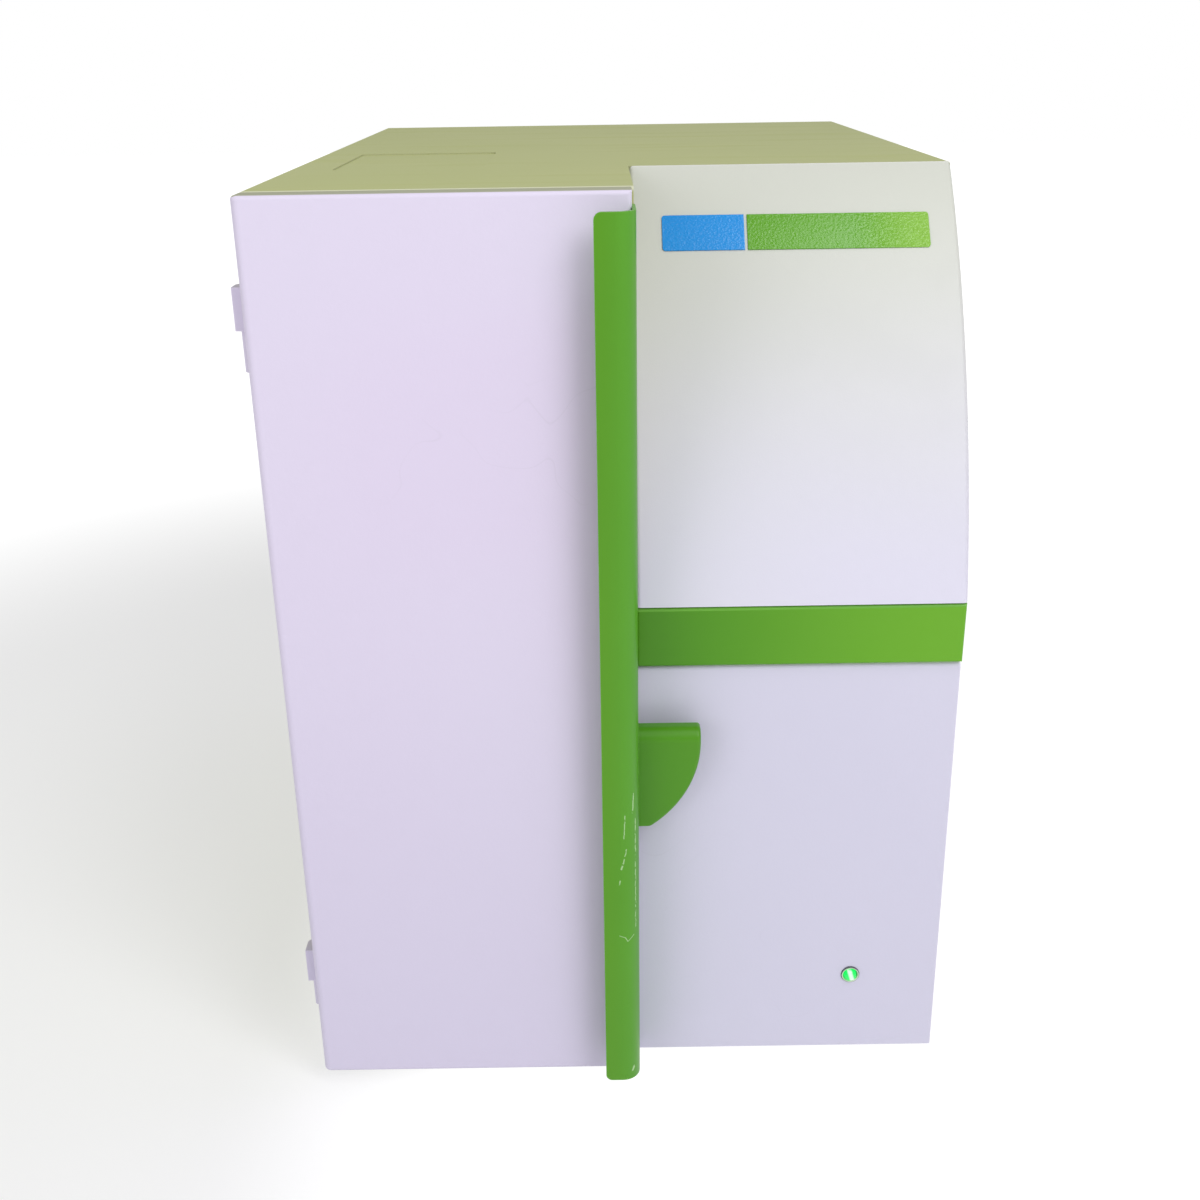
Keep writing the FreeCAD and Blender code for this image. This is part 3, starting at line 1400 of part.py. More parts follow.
def make_shield():
    x0, x1, y0, y1 = shield_box()
    low = TRAY_TOP
    chamber = low + s.shield_lower
    ceiling = chamber + s.chamber_height
    top = ceiling + s.shield_upper
    bore = s.tube_radius + s.tube_clearance
    depth = s.tube_length + s.tube_inset

    def bores(k):
        for x, y in tube_spots():
            ring_hole(k, x, y, bore)

    lower = new_body("shield_lower_block")
    slab(lower, "Z", low, chamber, lambda k: rectangle(k, x0, x1, y0, y1))
    cut_slab(lower, "Z", chamber - depth, chamber, bores)
    upper = new_body("shield_upper_block")
    slab(upper, "Z", ceiling, top, lambda k: rectangle(k, x0, x1, y0, y1))
    cut_slab(upper, "Z", ceiling, ceiling + depth, bores)
    collar = new_body("shield_collar")
    wall = s.shield_wall
    points = [
        (x0, y0), (x1, y0), (x1, y1), (x0, y1),
        (x0, y1 - wall), (x1 - wall, y1 - wall), (x1 - wall, y0 + wall), (x0, y0 + wall),
    ]
    slab(collar, "Z", chamber, ceiling, lambda k: outline(k, points))
    spans = [(chamber - depth, chamber - s.tube_inset), (ceiling + s.tube_inset, ceiling + depth)]
    tubes = [rod("Z", spot, *span, s.tube_radius) for span in spans for spot in tube_spots()]
    keep("light_tubes", group(tubes))
    start, end = x0 + s.stage_inset, x1 - wall - s.stage_room
    cy = (y0 + y1) / 2
    half = s.stage_length / 2
    rails = [
        block(x0, x1 - wall, y - s.rail_width / 2, y + s.rail_width / 2, chamber, chamber + s.rail_height)
        for y in (cy - half + s.rail_width, cy + half - s.rail_width)
    ]
    keep("stage_rails", group(rails))
    stage = new_body("counting_stage")
    floor = chamber + s.rail_height + s.running_gap
    rim = s.stage_rim

    def frame(k):
        rectangle(k, start, end, cy - half, cy + half)
        rectangle(k, start + rim, end - rim, cy - half + rim, cy + half - rim)

    slab(stage, "Z", floor, floor + s.stage_gauge, frame)


# Electronics and the rear


def make_electronics():
    body = new_body("power_supply")
    x0 = DIVIDER + s.steel_gauge + s.supply_left
    x1 = RIGHT - s.steel_gauge - s.supply_side
    y1 = SHELL_BACK - s.supply_back
    y0 = y1 - s.supply_length
    top = TRAY_TOP + s.supply_height
    slab(body, "Z", TRAY_TOP, top, lambda k: rectangle(k, x0, x1, y0, y1))
    first, end = x0 + s.supply_vent_side, s.supply_vent_end
    vent = cut_slab(
        body, "Z", top - s.steel_gauge, top,
        lambda k: rectangle(k, first, first + s.slot_width, y0 + end, y1 - end),
    )
    room = x1 - x0 - 2 * s.supply_vent_side - s.slot_width
    count = int(room.number / s.slot_pitch.number) + 1
    row_of(body, vent, "H_Axis", s.slot_pitch, Size(str(count), count))
    board = new_body("control_board")
    face = DIVIDER + s.steel_gauge
    x = face + s.standoff_length
    by, bz = FRONT + s.board_front, FOOT + s.board_foot
    outer = x + s.board_gauge
    slab(board, "X", x, outer, lambda k: rectangle(k, by, by + s.board_length, bz, bz + s.board_height))
    inset = s.standoff_inset
    spots = [
        (y, z)
        for y in (by + inset, by + s.board_length - inset)
        for z in (bz + inset, bz + s.board_height - inset)
    ]

    def standoffs(k):
        for y, z in spots:
            turns = [math.radians(60 * i) for i in range(6)]
            radius = s.standoff_radius
            outline(k, [(y + radius * math.cos(a), z + radius * math.sin(a)) for a in turns])

    slab(board, "X", face, x, standoffs)

    def chips(k):
        for row in range(4):
            for column in range(3):
                y = by + s.chip_margin + (s.chip_length + s.chip_space) * column
                z = bz + s.chip_margin + (s.chip_width + s.chip_lift) * row
                rectangle(k, y, y + s.chip_length, z, z + s.chip_width)

    slab(board, "X", outer, outer + s.chip_height, chips)


def make_fan():
    x, z = fan_centre()
    half = s.fan_size / 2
    front, back = SHELL_BACK - s.fan_depth, SHELL_BACK
    body = new_body("fan_frame")
    slab(body, "Y", front, back, lambda k: rectangle(k, x - half, x + half, z - half, z + half))
    cut_slab(body, "Y", front, back, lambda k: ring_hole(k, x, z, s.fan_bore))
    seat = front + s.fan_hub_depth
    slab(body, "Y", front, seat, lambda k: ring_hole(k, x, z, s.hub_radius))
    arm, reach = s.fan_arm / 2, half - s.fan_arm_root
    arm_back = front + s.fan_arm_depth
    slab(body, "Y", front, arm_back, lambda k: rectangle(k, x - reach, x + reach, z - arm, z + arm))
    slab(body, "Y", front, arm_back, lambda k: rectangle(k, x - arm, x + arm, z - reach, z + reach))
    rotor = new_body("fan_rotor")
    rotor_front = seat + s.running_gap
    rotor_back = back - s.rotor_recess
    slab(rotor, "Y", rotor_front, rotor_back, lambda k: ring_hole(k, ZERO, ZERO, s.hub_radius))
    first, last = rotor_front + s.blade_margin, rotor_back - s.blade_margin
    lean = s.blade_lean / 2
    blade = [(first, -lean), (first + s.blade_gauge, -lean), (last, lean), (last - s.blade_gauge, lean)]
    fin = slab(rotor, "X", s.hub_radius - s.blade_root, s.blade_tip, lambda k: outline(k, blade))
    spin = rotor.newObject("PartDesign::PolarPattern", "FanBlades")
    spin.Originals = [fin]
    spin.Axis = ([o for o in rotor.Origin.OriginFeatures if o.Role == "Y_Axis"][0], [""])
    spin.Angle = 360
    bind(spin, "Occurrences", s.blade_count)
    rotor.Tip = spin
    bind(rotor, "Placement.Base.x", x)
    bind(rotor, "Placement.Base.z", z)
    doc.recompute()


def guard_face():
    """Depth of the guard's outer face, where its screws lie."""
    return BACK + s.guard_gauge


def make_guard():
    """A stamped guard with a row of straight slots, held by the fan's four screws."""
    body = new_body("fan_guard")
    x, z = fan_centre()
    half = s.fan_size / 2
    slab(body, "Y", BACK, guard_face(), lambda k: rectangle(k, x - half, x + half, z - half, z + half))
    reach = half - s.guard_rim - s.fan_screw_inset
    first = z - s.guard_pitch * (s.guard_slots - 1) / 2 - s.guard_slot / 2
    slot = cut_slab(
        body, "Y", BACK, guard_face(),
        lambda k: rectangle(k, x - reach, x + reach, first, first + s.guard_slot),
    )
    row_of(body, slot, "V_Axis", s.guard_pitch, s.guard_slots)


def make_inlet():
    body = new_body("mains_inlet")
    x0, x1, z0, z1 = inlet_box(ZERO)
    flange = s.inlet_flange
    face = BACK + flange
    inner = inlet_box(flange + s.inlet_fit)
    slab(body, "Y", BACK, face, lambda k: rectangle(k, x0, x1, z0, z1))
    slab(body, "Y", BACK - s.inlet_depth, BACK + flange / 2, lambda k: rectangle(k, *inner))
    x = (x0 + x1) / 2
    socket_z = z0 + s.socket_up
    half_w, half_h, nick = s.socket_width / 2, s.socket_height / 2, s.socket_nick
    socket = [
        (x - half_w, socket_z - half_h),
        (x + half_w, socket_z - half_h),
        (x + half_w, socket_z + half_h - nick),
        (x + half_w - nick, socket_z + half_h),
        (x - half_w + nick, socket_z + half_h),
        (x - half_w, socket_z + half_h - nick),
    ]
    deep = face - s.inlet_depth / 2
    cut_slab(body, "Y", deep, face, lambda k: outline(k, socket))
    rz = z0 + s.rocker_up
    reach = s.rocker_radius + s.rocker_gap
    wide = s.rocker_width / 2 + s.running_gap
    cut_slab(
        body, "Y", face - s.rocker_well, face,
        lambda k: rectangle(k, x - wide, x + wide, rz - reach, rz + reach),
    )
    pins = []
    half_pin, half_tall = s.pin_width / 2, s.pin_height / 2
    for across, up in ((-1, -1), (0, 1), (1, -1)):
        px = x + s.pin_across * across
        pz = socket_z + s.pin_up * up
        tip = face - s.inlet_pin_depth
        pins.append(block(px - half_pin, px + half_pin, deep, tip, pz - half_tall, pz + half_tall))
    axis_y = face - s.rocker_sink
    pins.append(rod("X", (axis_y, rz), x - wide, x + wide, s.rocker_pin))
    keep("inlet_pins", group(pins))
    make_rocker(x, axis_y, rz)


def make_rocker(x, axis_y, rz):
    """A two-faced rocker on a cross pin, tipped to one side."""
    body = new_body("power_rocker")
    half = s.rocker_width / 2
    tall, back = s.rocker_height / 2, axis_y - s.rocker_back
    section = [
        (back, rz - tall),
        (axis_y + s.rocker_dip, rz - tall),
        (axis_y + s.rocker_nose, rz),
        (axis_y + s.rocker_nose, rz + tall),
        (back, rz + tall),
    ]
    slab(body, "X", x - half, x + half, lambda k: outline(k, section))
    bore = s.rocker_pin + s.fit_clearance
    cut_slab(body, "X", x - half, x + half, lambda k: ring_hole(k, axis_y, rz, bore))


def make_port():
    """A flanged connector whose shell is wider at its top than at its foot."""
    x0, x1, z0, z1 = port_box(ZERO)
    inner = port_box(s.steel_gauge + s.inlet_fit)
    face = BACK + s.port_flange
    body = new_body("data_port")
    slab(body, "Y", BACK, face, lambda k: rectangle(k, x0, x1, z0, z1))
    slab(body, "Y", BACK - s.port_depth, face - s.port_flange / 2, lambda k: rectangle(k, *inner))
    x, z = (x0 + x1) / 2, (z0 + z1) / 2

    def shell(k, inset):
        narrow = s.port_shell / 2 - inset
        wide = narrow + s.port_flare / 2
        half = s.port_shell_height / 2 - inset
        low, high = z - half, z + half
        outline(k, [(x - narrow, low), (x + narrow, low), (x + wide, high), (x - wide, high)])

    tip = BACK + s.rear_reach
    slab(body, "Y", face - s.port_flange / 2, tip, lambda k: shell(k, ZERO))
    cut_slab(body, "Y", face, tip, lambda k: shell(k, s.port_wall))


def main():
    make_left_side()
    make_right_side()
    make_roof()
    make_rear()
    make_base()
    make_feet()
    make_panel_screws()
    make_nose()
    make_band()
    make_lower_panel()
    make_badge()
    make_button()
    make_door()
    make_door_frame()
    make_pull_bar()
    make_grip()
    make_hinges()
    make_catch()
    make_bay()
    make_magazine()
    make_lift_frame()
    make_lift_drive()
    make_carriage()
    make_fork()
    make_shield()
    make_electronics()
    make_fan()
    make_guard()
    make_inlet()
    make_port()
    doc.recompute()
    broken = [o.Name for o in doc.Objects if "Invalid" in o.State or "Error" in o.State]
    if broken:
        raise RuntimeError(f"these objects failed: {broken}")
    for label, obj in parts.items():
        shape = obj.Shape
        if shape.isNull() or not shape.isValid() or not shape.Solids:
            raise RuntimeError(f"{label} has no valid solid")
    os.makedirs("parts", exist_ok=True)
    for label, obj in parts.items():
        obj.Shape.exportStep(os.path.join("parts", label + ".step"))
    print(f"{len(parts)} parts, {sum(len(o.Shape.Solids) for o in parts.values())} solids")


main()
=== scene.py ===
"""Dresses the plate counter: painted sheet, moulded covers, printed plates, bare metals, a lit button.

It also lays the white studio and sets the photograph's camera.
"""

import json
import math

import bmesh
import bpy
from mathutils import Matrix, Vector


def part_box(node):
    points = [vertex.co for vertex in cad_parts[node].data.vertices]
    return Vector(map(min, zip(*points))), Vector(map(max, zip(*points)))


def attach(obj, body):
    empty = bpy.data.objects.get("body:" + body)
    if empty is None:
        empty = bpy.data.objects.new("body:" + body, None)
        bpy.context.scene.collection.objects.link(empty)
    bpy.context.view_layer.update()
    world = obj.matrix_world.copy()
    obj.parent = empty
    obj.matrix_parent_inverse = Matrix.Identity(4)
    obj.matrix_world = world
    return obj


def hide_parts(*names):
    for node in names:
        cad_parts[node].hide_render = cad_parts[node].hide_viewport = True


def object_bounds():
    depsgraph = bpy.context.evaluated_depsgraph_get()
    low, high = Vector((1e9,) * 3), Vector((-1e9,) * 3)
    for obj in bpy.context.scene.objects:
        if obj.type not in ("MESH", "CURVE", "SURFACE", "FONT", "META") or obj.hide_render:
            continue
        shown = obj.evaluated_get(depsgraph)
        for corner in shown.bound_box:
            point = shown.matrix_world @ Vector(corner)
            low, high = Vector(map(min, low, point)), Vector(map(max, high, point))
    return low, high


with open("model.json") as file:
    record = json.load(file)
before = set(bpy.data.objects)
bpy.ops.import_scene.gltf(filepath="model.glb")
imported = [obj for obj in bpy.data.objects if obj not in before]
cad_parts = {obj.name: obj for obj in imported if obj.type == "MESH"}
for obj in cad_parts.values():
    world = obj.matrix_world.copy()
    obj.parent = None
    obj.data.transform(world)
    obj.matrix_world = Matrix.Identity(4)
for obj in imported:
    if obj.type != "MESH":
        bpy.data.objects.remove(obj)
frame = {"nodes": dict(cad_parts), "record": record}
nodes = frame["nodes"]
cad_low, cad_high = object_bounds()

MM = 0.001
TURN = 2 * math.pi


# Node trees


class Wire:
    """A socket of a node tree. Arithmetic on it adds the Math nodes that do the same at every point."""

    def __init__(self, tree, socket):
        self.tree = tree
        self.socket = socket

    def maths(self, operation, first, second):
        return self.tree.node("ShaderNodeMath", {"operation": operation}, {0: first, 1: second})

    def __add__(self, other):
        return self.maths("ADD", self, other)

    def __radd__(self, other):
        return self.maths("ADD", other, self)

    def __sub__(self, other):
        return self.maths("SUBTRACT", self, other)

    def __rsub__(self, other):
        return self.maths("SUBTRACT", other, self)

    def __mul__(self, other):
        return self.maths("MULTIPLY", self, other)

    def __truediv__(self, other):
        return self.maths("DIVIDE", self, other)

    def __pow__(self, other):
        return self.maths("POWER", self, other)

    def __abs__(self):
        return self.maths("ABSOLUTE", self, 0.0)

    def __or__(self, other):
        """The stronger of two masks."""
        return self.maths("MAXIMUM", self, other)


class Tree:
    """A node tree that is built node by node."""

    def __init__(self, tree):
        self.tree = tree

    def node(self, kind, settings=None, inputs=None, output=0):
        """One node: its settings first, then the value or the wire of each socket."""
        fresh = self.tree.nodes.new(kind)
        for name, value in (settings or {}).items():
            setattr(fresh, name, value)
        for key, value in (inputs or {}).items():
            if isinstance(value, Wire):
                self.tree.links.new(value.socket, fresh.inputs[key])
            else:
                fresh.inputs[key].default_value = value
        return Wire(self, fresh.outputs[output]) if len(fresh.outputs) else None


class Finish(Tree):
    """A surface finish."""

    def __init__(self, name):
        self.material = bpy.data.materials.new(name)
        self.material.use_nodes = True
        super().__init__(self.material.node_tree)
        self.tree.nodes.clear()
        self.spot = self.node("ShaderNodeTexCoord", output="Object")

    def noise(self, size, detail=2.0, where=None):
        """Soft blotches about as wide as size."""
        inputs = {"Vector": where or self.spot, "Scale": 1 / size, "Detail": detail}
        return self.node("ShaderNodeTexNoise", None, inputs)

    def cells(self, size, feature="F1"):
        """Rounded cells about as wide as size."""
        inputs = {"Vector": self.spot, "Scale": 1 / size}
        return self.node("ShaderNodeTexVoronoi", {"feature": feature}, inputs)

    def stretched(self, x, y, z):
        """The place on the object with its axes drawn out, so that a pattern runs along one of them."""
        inputs = {0: self.spot, 1: (x, y, z)}
        return self.node("ShaderNodeVectorMath", {"operation": "MULTIPLY"}, inputs)

    def across(self, axis):
        """How far along one axis of the object a point lies."""
        return self.node("ShaderNodeSeparateXYZ", None, {0: self.spot}, axis)

    def ease(self, value, low, high):
        """Nothing below low, all above high, and a smooth step between them."""
        inputs = {"Value": value, "From Min": low, "From Max": high}
        return self.node("ShaderNodeMapRange", {"interpolation_type": "SMOOTHSTEP"}, inputs)

    def blend(self, amount, first, second):
        """The first colour, giving way to the second by the amount."""
        settings = {"data_type": "RGBA"}
        return self.node("ShaderNodeMix", settings, {0: amount, 6: first, 7: second}, 2)

    def stroke(self, start, end, width, wander=None):
        """A scratch between two places seen from the front, each across and up. wander bends its line."""
        run = Vector(end) - Vector(start)
        way = run.normalized()
        aside = self.across("X") - start[0]
        if wander:
            aside = aside + wander
        above = self.across("Z") - start[1]
        along = aside * way.x + above * way.y
        kept = self.node("ShaderNodeClamp", None, {"Value": along, "Min": 0.0, "Max": run.length})
        off_x = aside - kept * way.x
        off_z = above - kept * way.y
        away = (off_x * off_x + off_z * off_z) ** 0.5
        return 1.0 - self.ease(away, width * 0.3, width)

    def edges(self, radius):
        """Strong along outer edges: most finishes lay a painted highlight there, the films a painted shade,
        the bar its chips.
        """
        soft = self.node("ShaderNodeBevel", {"samples": 6}, {"Radius": radius})
        sharp = self.node("ShaderNodeNewGeometry", output="Normal")
        match = self.node("ShaderNodeVectorMath", {"operation": "DOT_PRODUCT"}, {0: soft, 1: sharp}, "Value")
        return self.ease(1.0 - match, 0.02, 0.25)

    def facing_up(self):
        """Strong on level faces."""
        normal = self.node("ShaderNodeNewGeometry", output="Normal")
        return self.ease(self.node("ShaderNodeSeparateXYZ", None, {0: normal}, "Z"), 0.5, 0.8)

    def bump(self, height, depth, strength, under=None):
        """Small relief, depth deep, over the normal of what lies under it."""
        inputs = {"Height": height, "Distance": depth, "Strength": strength}
        if under:
            inputs["Normal"] = under
        return self.node("ShaderNodeBump", None, inputs)

    def surface(self, colour, rough, normal=None, **more):
        """Ends the finish in one shader. Words in more name its other sockets."""
        inputs = {"Base Color": colour, "Roughness": rough}
        if normal:
            inputs["Normal"] = normal
        for name, value in more.items():
            inputs[name.replace("_", " ").title().replace("Ior", "IOR")] = value
        shader = self.node("ShaderNodeBsdfPrincipled", None, inputs)
        self.node("ShaderNodeOutputMaterial", None, {"Surface": shader})
        return self.material


class Recipe(Tree):
    """A Geometry Nodes tree with named sizes, ending in real meshes that carry their finish."""

    def __init__(self, name, *sizes):
        super().__init__(bpy.data.node_groups.new(name, "GeometryNodeTree"))
        face = self.tree.interface
        face.new_socket("Geometry", in_out="INPUT", socket_type="NodeSocketGeometry")
        for size in sizes:
            face.new_socket(size, in_out="INPUT", socket_type="NodeSocketFloat")
        face.new_socket("Geometry", in_out="OUTPUT", socket_type="NodeSocketGeometry")
        self.given = self.tree.nodes.new("NodeGroupInput")

    def size(self, name):
        return Wire(self, self.given.outputs[name])

    def lifted(self, shape, height):
        """The shape moved up."""
        up = self.node("ShaderNodeCombineXYZ", None, {"Z": height})
        return self.node("GeometryNodeTransform", None, {"Geometry": shape, "Translation": up})

    def joined(self, *shapes):
        """Several shapes as one."""
        join = self.tree.nodes.new("GeometryNodeJoinGeometry")
        for shape in shapes:
            self.tree.links.new(shape.socket, join.inputs[0])
        return Wire(self, join.outputs[0])

    def serve(self, shape, finish):
        """Ends the recipe in the shape as a plain mesh with its finish."""
        real = self.node("GeometryNodeRealizeInstances", None, {0: shape})
        coated = self.node("GeometryNodeSetMaterial", None, {"Geometry": real, "Material": finish})
        self.node("NodeGroupOutput", None, {0: coated})


def grown(name, start, recipe, **sizes):
    """The plain mesh that a recipe makes of the points or the line it is given."""
    holder = bpy.data.objects.new(name, start)
    bpy.context.scene.collection.objects.link(holder)
    change = holder.modifiers.new("shape", "NODES")
    change.node_group = recipe.tree
    for item in recipe.tree.interface.items_tree:
        if item.in_out == "INPUT" and item.name in sizes:
            change[item.identifier] = sizes[item.name]
    ready = holder.evaluated_get(bpy.context.evaluated_depsgraph_get())
    mesh = bpy.data.meshes.new_from_object(ready)
    holder.modifiers.remove(change)
    bpy.data.objects.remove(holder)
    mesh.name = name
    return mesh


def linear(level):
    """The linear value of one screen level, 0 to 255."""
    level /= 255
    return level / 12.92 if level <= 0.04045 else ((level + 0.055) / 1.055) ** 2.4


def tint(red, green, blue):
    """A colour by its three screen levels, 0 to 255."""
    return (linear(red), linear(green), linear(blue), 1.0)


# Finishes


# Spans over which a tone changes: up from the bench, or rightward from the cabinet's middle
DOOR_FADE = (50 * MM, 500 * MM)
COVER_FADE = (360 * MM, 620 * MM)
BAR_FOOT_FADE = (24 * MM, 34 * MM)
BAR_REFLECTION_FADE = (-12 * MM, 11 * MM)
BAND_PAINTED_LIGHT_FADE = (10 * MM, 220 * MM)
PLATE_FADE = (150 * MM, 205 * MM)
ROOF_FADE = (-220 * MM, 220 * MM)

MOULD_GRAIN = 0.7 * MM

DOOR_LOW, DOOR_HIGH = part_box("door_skin")
ROOF_LOW, ROOF_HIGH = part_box("roof_panel")
PANEL_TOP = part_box("lower_front_panel")[1].z
BAND_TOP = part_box("trim_band")[1].z


def hairlines(finish, size, width):
    """Thin wandering lines, as scuffs leave."""
    wander = finish.noise(size, 1.0)
    return 1.0 - finish.ease(abs(wander - 0.5), 0.0, width)


def enamel(name, colour, shade, foot=None, rough=0.42, peel=1.0, cap=None, fold=None):
    """Sprayed and baked paint: orange peel, uneven tone, faint rub marks and painted highlights on edges and
    folds.

    foot is the tone low down, cap the tone of the top face behind the door's front fold, and fold the
    height of a folded edge that gets a painted highlight.
    """
    finish = Finish(name)
    broad = finish.ease(finish.noise(0.24, 1.0), 0.3, 0.7)
    base = finish.blend(broad * 0.6, colour, shade)
    if foot:
        base = finish.blend(finish.ease(finish.across("Z"), *DOOR_FADE), foot, base)
    rubs = hairlines(finish, 0.05, 0.005) * finish.ease(finish.noise(0.12, 2.0), 0.58, 0.72)
    base = finish.blend(rubs * 0.07, base, tint(150, 146, 156))
    # Painted highlight along rounded edges.
    base = finish.blend(finish.edges(1.6 * MM) * 0.4, base, tint(246, 243, 249))
    # Painted highlight along the folded edge at the fold height.
    if fold:
        lit = finish.ease(finish.across("Z"), fold - 1.6 * MM, fold - 0.7 * MM)
        base = finish.blend(lit, base, tint(250, 249, 252))
    if cap:
        roll = DOOR_LOW.y + 1.2 * MM
        top = finish.ease(finish.across("Z"), DOOR_HIGH.z - 1.5 * MM, DOOR_HIGH.z - 0.5 * MM)
        top = finish.facing_up() * top * finish.ease(finish.across("Y"), roll, roll + 1.2 * MM)
        base = finish.blend(top, base, cap)
    smudge = finish.ease(finish.noise(0.07, 3.0), 0.42, 0.66)
    gloss = rough + smudge * 0.1 - rubs * 0.05
    skin = finish.noise(2.4 * MM, 2.0) + finish.noise(0.9 * MM, 1.0) * 0.35
    normal = finish.bump(skin, 0.09 * MM * peel, 0.55)
    return finish.surface(base, gloss, normal, specular_ior_level=0.4)


def roof_enamel(name):
    """Olive-cast paint of the cabinet, with dust, the faint sheen of wiping and painted highlights on its
    edges.

    The walls of the plate rest, well inside the roof's edges, are greyer in painted shade.
    """
    finish = Finish(name)
    left, front, back, top = ROOF_LOW.x, ROOF_LOW.y, ROOF_HIGH.y, ROOF_HIGH.z
    left_to_right = finish.ease(finish.across("X"), *ROOF_FADE)
    base = finish.blend(left_to_right, tint(182, 188, 118), tint(178, 184, 118))
    broad = finish.ease(finish.noise(0.16, 2.0), 0.35, 0.7)
    base = finish.blend(broad * 0.3, base, tint(188, 192, 130))
    wiped = finish.noise(0.03, 3.0, finish.stretched(0.18, 1.0, 1.0))
    dust = finish.ease(wiped, 0.5, 0.75)
    base = finish.blend(dust * 0.1, base, tint(204, 205, 168))
    # Painted highlight along edges, strongest near the front.
    at_front = 1.0 - finish.ease(finish.across("Y"), front + 6 * MM, front + 21 * MM)
    base = finish.blend(finish.edges(1.5 * MM) * (0.12 + at_front * 0.4), base, tint(228, 229, 204))
    # Painted shade: the walls of the plate rest are greyer.
    inside = finish.ease(finish.across("X"), left + 5.3 * MM, left + 9.3 * MM)
    inside = inside * finish.ease(finish.across("Y"), front + 4 * MM, front + 7 * MM)
    inside = inside * (1.0 - finish.ease(finish.across("Y"), back - 22 * MM, back - 12 * MM))
    walls = (1.0 - finish.facing_up()) * inside
    base = finish.blend(walls * 0.6, base, tint(158, 160, 134))
    # Painted highlight along the front rim of the roof.
    rim = finish.ease(finish.across("Z"), top - 4 * MM, top - 1.5 * MM)
    rim = rim * (1.0 - finish.ease(finish.across("Y"), front + 2 * MM, front + 3.5 * MM))
    base = finish.blend(rim * 0.7, base, tint(218, 219, 200))
    skin = finish.noise(2.4 * MM, 2.0) + finish.noise(0.9 * MM, 1.0) * 0.3
    normal = finish.bump(skin, 0.08 * MM, 0.5)
    return finish.surface(base, 0.44 + dust * 0.14, normal, specular_ior_level=0.35)


def moulded(name, colour, shade, rough=0.4, crown=None, side=None, ridge=None):
    """Injection-moulded plastic: a fine etched grain, slow drift in tone and polished edges with a painted
    highlight.

    crown is the tone high up, partly a painted reflection; side the lighter tone at the right, painted light;
    and ridge the height of an upper edge that gets a painted highlight.
    """
    finish = Finish(name)
    drift = finish.ease(finish.noise(0.2, 1.0), 0.35, 0.7)
    base = finish.blend(drift * 0.5, colour, shade)
    # The crown's greener grey is partly a painted reflection of warm light on the upturned curve.
    if crown:
        base = finish.blend(finish.ease(finish.across("Z"), *COVER_FADE), base, crown)
    # Painted light and shade: lighter towards the right, darker at the left beside the pull bar.
    if side:
        base = finish.blend(finish.ease(finish.across("X"), *BAND_PAINTED_LIGHT_FADE), base, side)
    # Painted highlight along the upper edge at the ridge height.
    if ridge:
        lit = finish.ease(finish.across("Z"), ridge - 2.4 * MM, ridge - 1.8 * MM)
        base = finish.blend(lit, base, tint(104, 170, 52))
    # Painted highlight along edges; the lower roughness there is the real polish.
    edge = finish.edges(1.4 * MM)
    base = finish.blend(edge * 0.3, base, finish.blend(0.5, colour, tint(252, 252, 250)))
    etched = finish.noise(MOULD_GRAIN, 1.0) + finish.cells(MOULD_GRAIN * 1.7) * 0.4
    touched = finish.ease(finish.noise(0.045, 3.0), 0.45, 0.7)
    normal = finish.bump(etched, 0.05 * MM, 0.6)
    return finish.surface(base, rough + touched * 0.08 - edge * 0.06, normal, specular_ior_level=0.4)


# Start, end and width of each scratch on the bar, across and up in millimetres, as seen in the photograph
SCRATCHES = [
    ((6.8, 252.1), (6.1, 238.1), 0.5),
    ((7.9, 232.8), (7.9, 190.0), 0.45),
    ((7.9, 190.0), (7.9, 148.6), 0.35),
    ((1.2, 237.7), (0.4, 220.2), 0.45),
    ((2.0, 211.8), (-0.2, 201.5), 0.5),
    ((-0.2, 201.5), (-1.4, 197.0), 0.8),
    ((-2.6, 188.0), (-3.0, 185.0), 0.6),
    ((-3.1, 144.8), (0.5, 143.1), 0.35),
    ((0.5, 143.1), (2.5, 139.8), 0.4),
    ((2.5, 139.8), (6.5, 143.8), 0.35),
    ((6.4, 33.5), (5.0, 30.2), 1.0),
]


def green_enamel(name):
    """Bright green paint of the pull bar, scratched and chipped at its lower half by hands and trolleys."""
    finish = Finish(name)
    # Painted reflection: bluer and lighter towards the right side, which curves away.
    sides = finish.ease(finish.across("X"), *BAR_REFLECTION_FADE)
    base = finish.blend(sides, tint(82, 148, 4), tint(84, 156, 34))
    broad = finish.ease(finish.noise(0.12, 1.0), 0.35, 0.7)
    base = finish.blend(broad * 0.3, base, tint(76, 143, 8))
    wander = (finish.noise(5 * MM, 2.0, finish.stretched(0.0, 0.0, 1.0)) - 0.5) * (1.6 * MM)
    broken = finish.ease(finish.noise(3 * MM, 2.0), 0.36, 0.5)
    worn = None
    for start, end, width in SCRATCHES:
        places = [(x * MM, z * MM) for x, z in (start, end)]
        mark = finish.stroke(*places, width * MM, wander)
        worn = worn | mark if worn else mark
    worn = worn * broken
    low_edge = 1.0 - finish.ease(finish.across("Z"), *BAR_FOOT_FADE)
    nicks = finish.ease(finish.noise(2.0 * MM, 2.0), 0.62, 0.68) * low_edge * finish.edges(3 * MM)
    worn = worn | nicks
    base = finish.blend(worn * 0.7, base, tint(196, 228, 176))
    # Painted highlight along the bar's edges.
    base = finish.blend(finish.edges(1.2 * MM) * 0.35, base, tint(150, 206, 112))
    skin = finish.noise(2.2 * MM, 2.0)
    normal = finish.bump(skin, 0.06 * MM, 0.5)
    normal = finish.bump(1.0 - worn, 0.12 * MM, 0.8, normal)
    return finish.surface(base, 0.36 + worn * 0.3, normal, specular_ior_level=0.4)


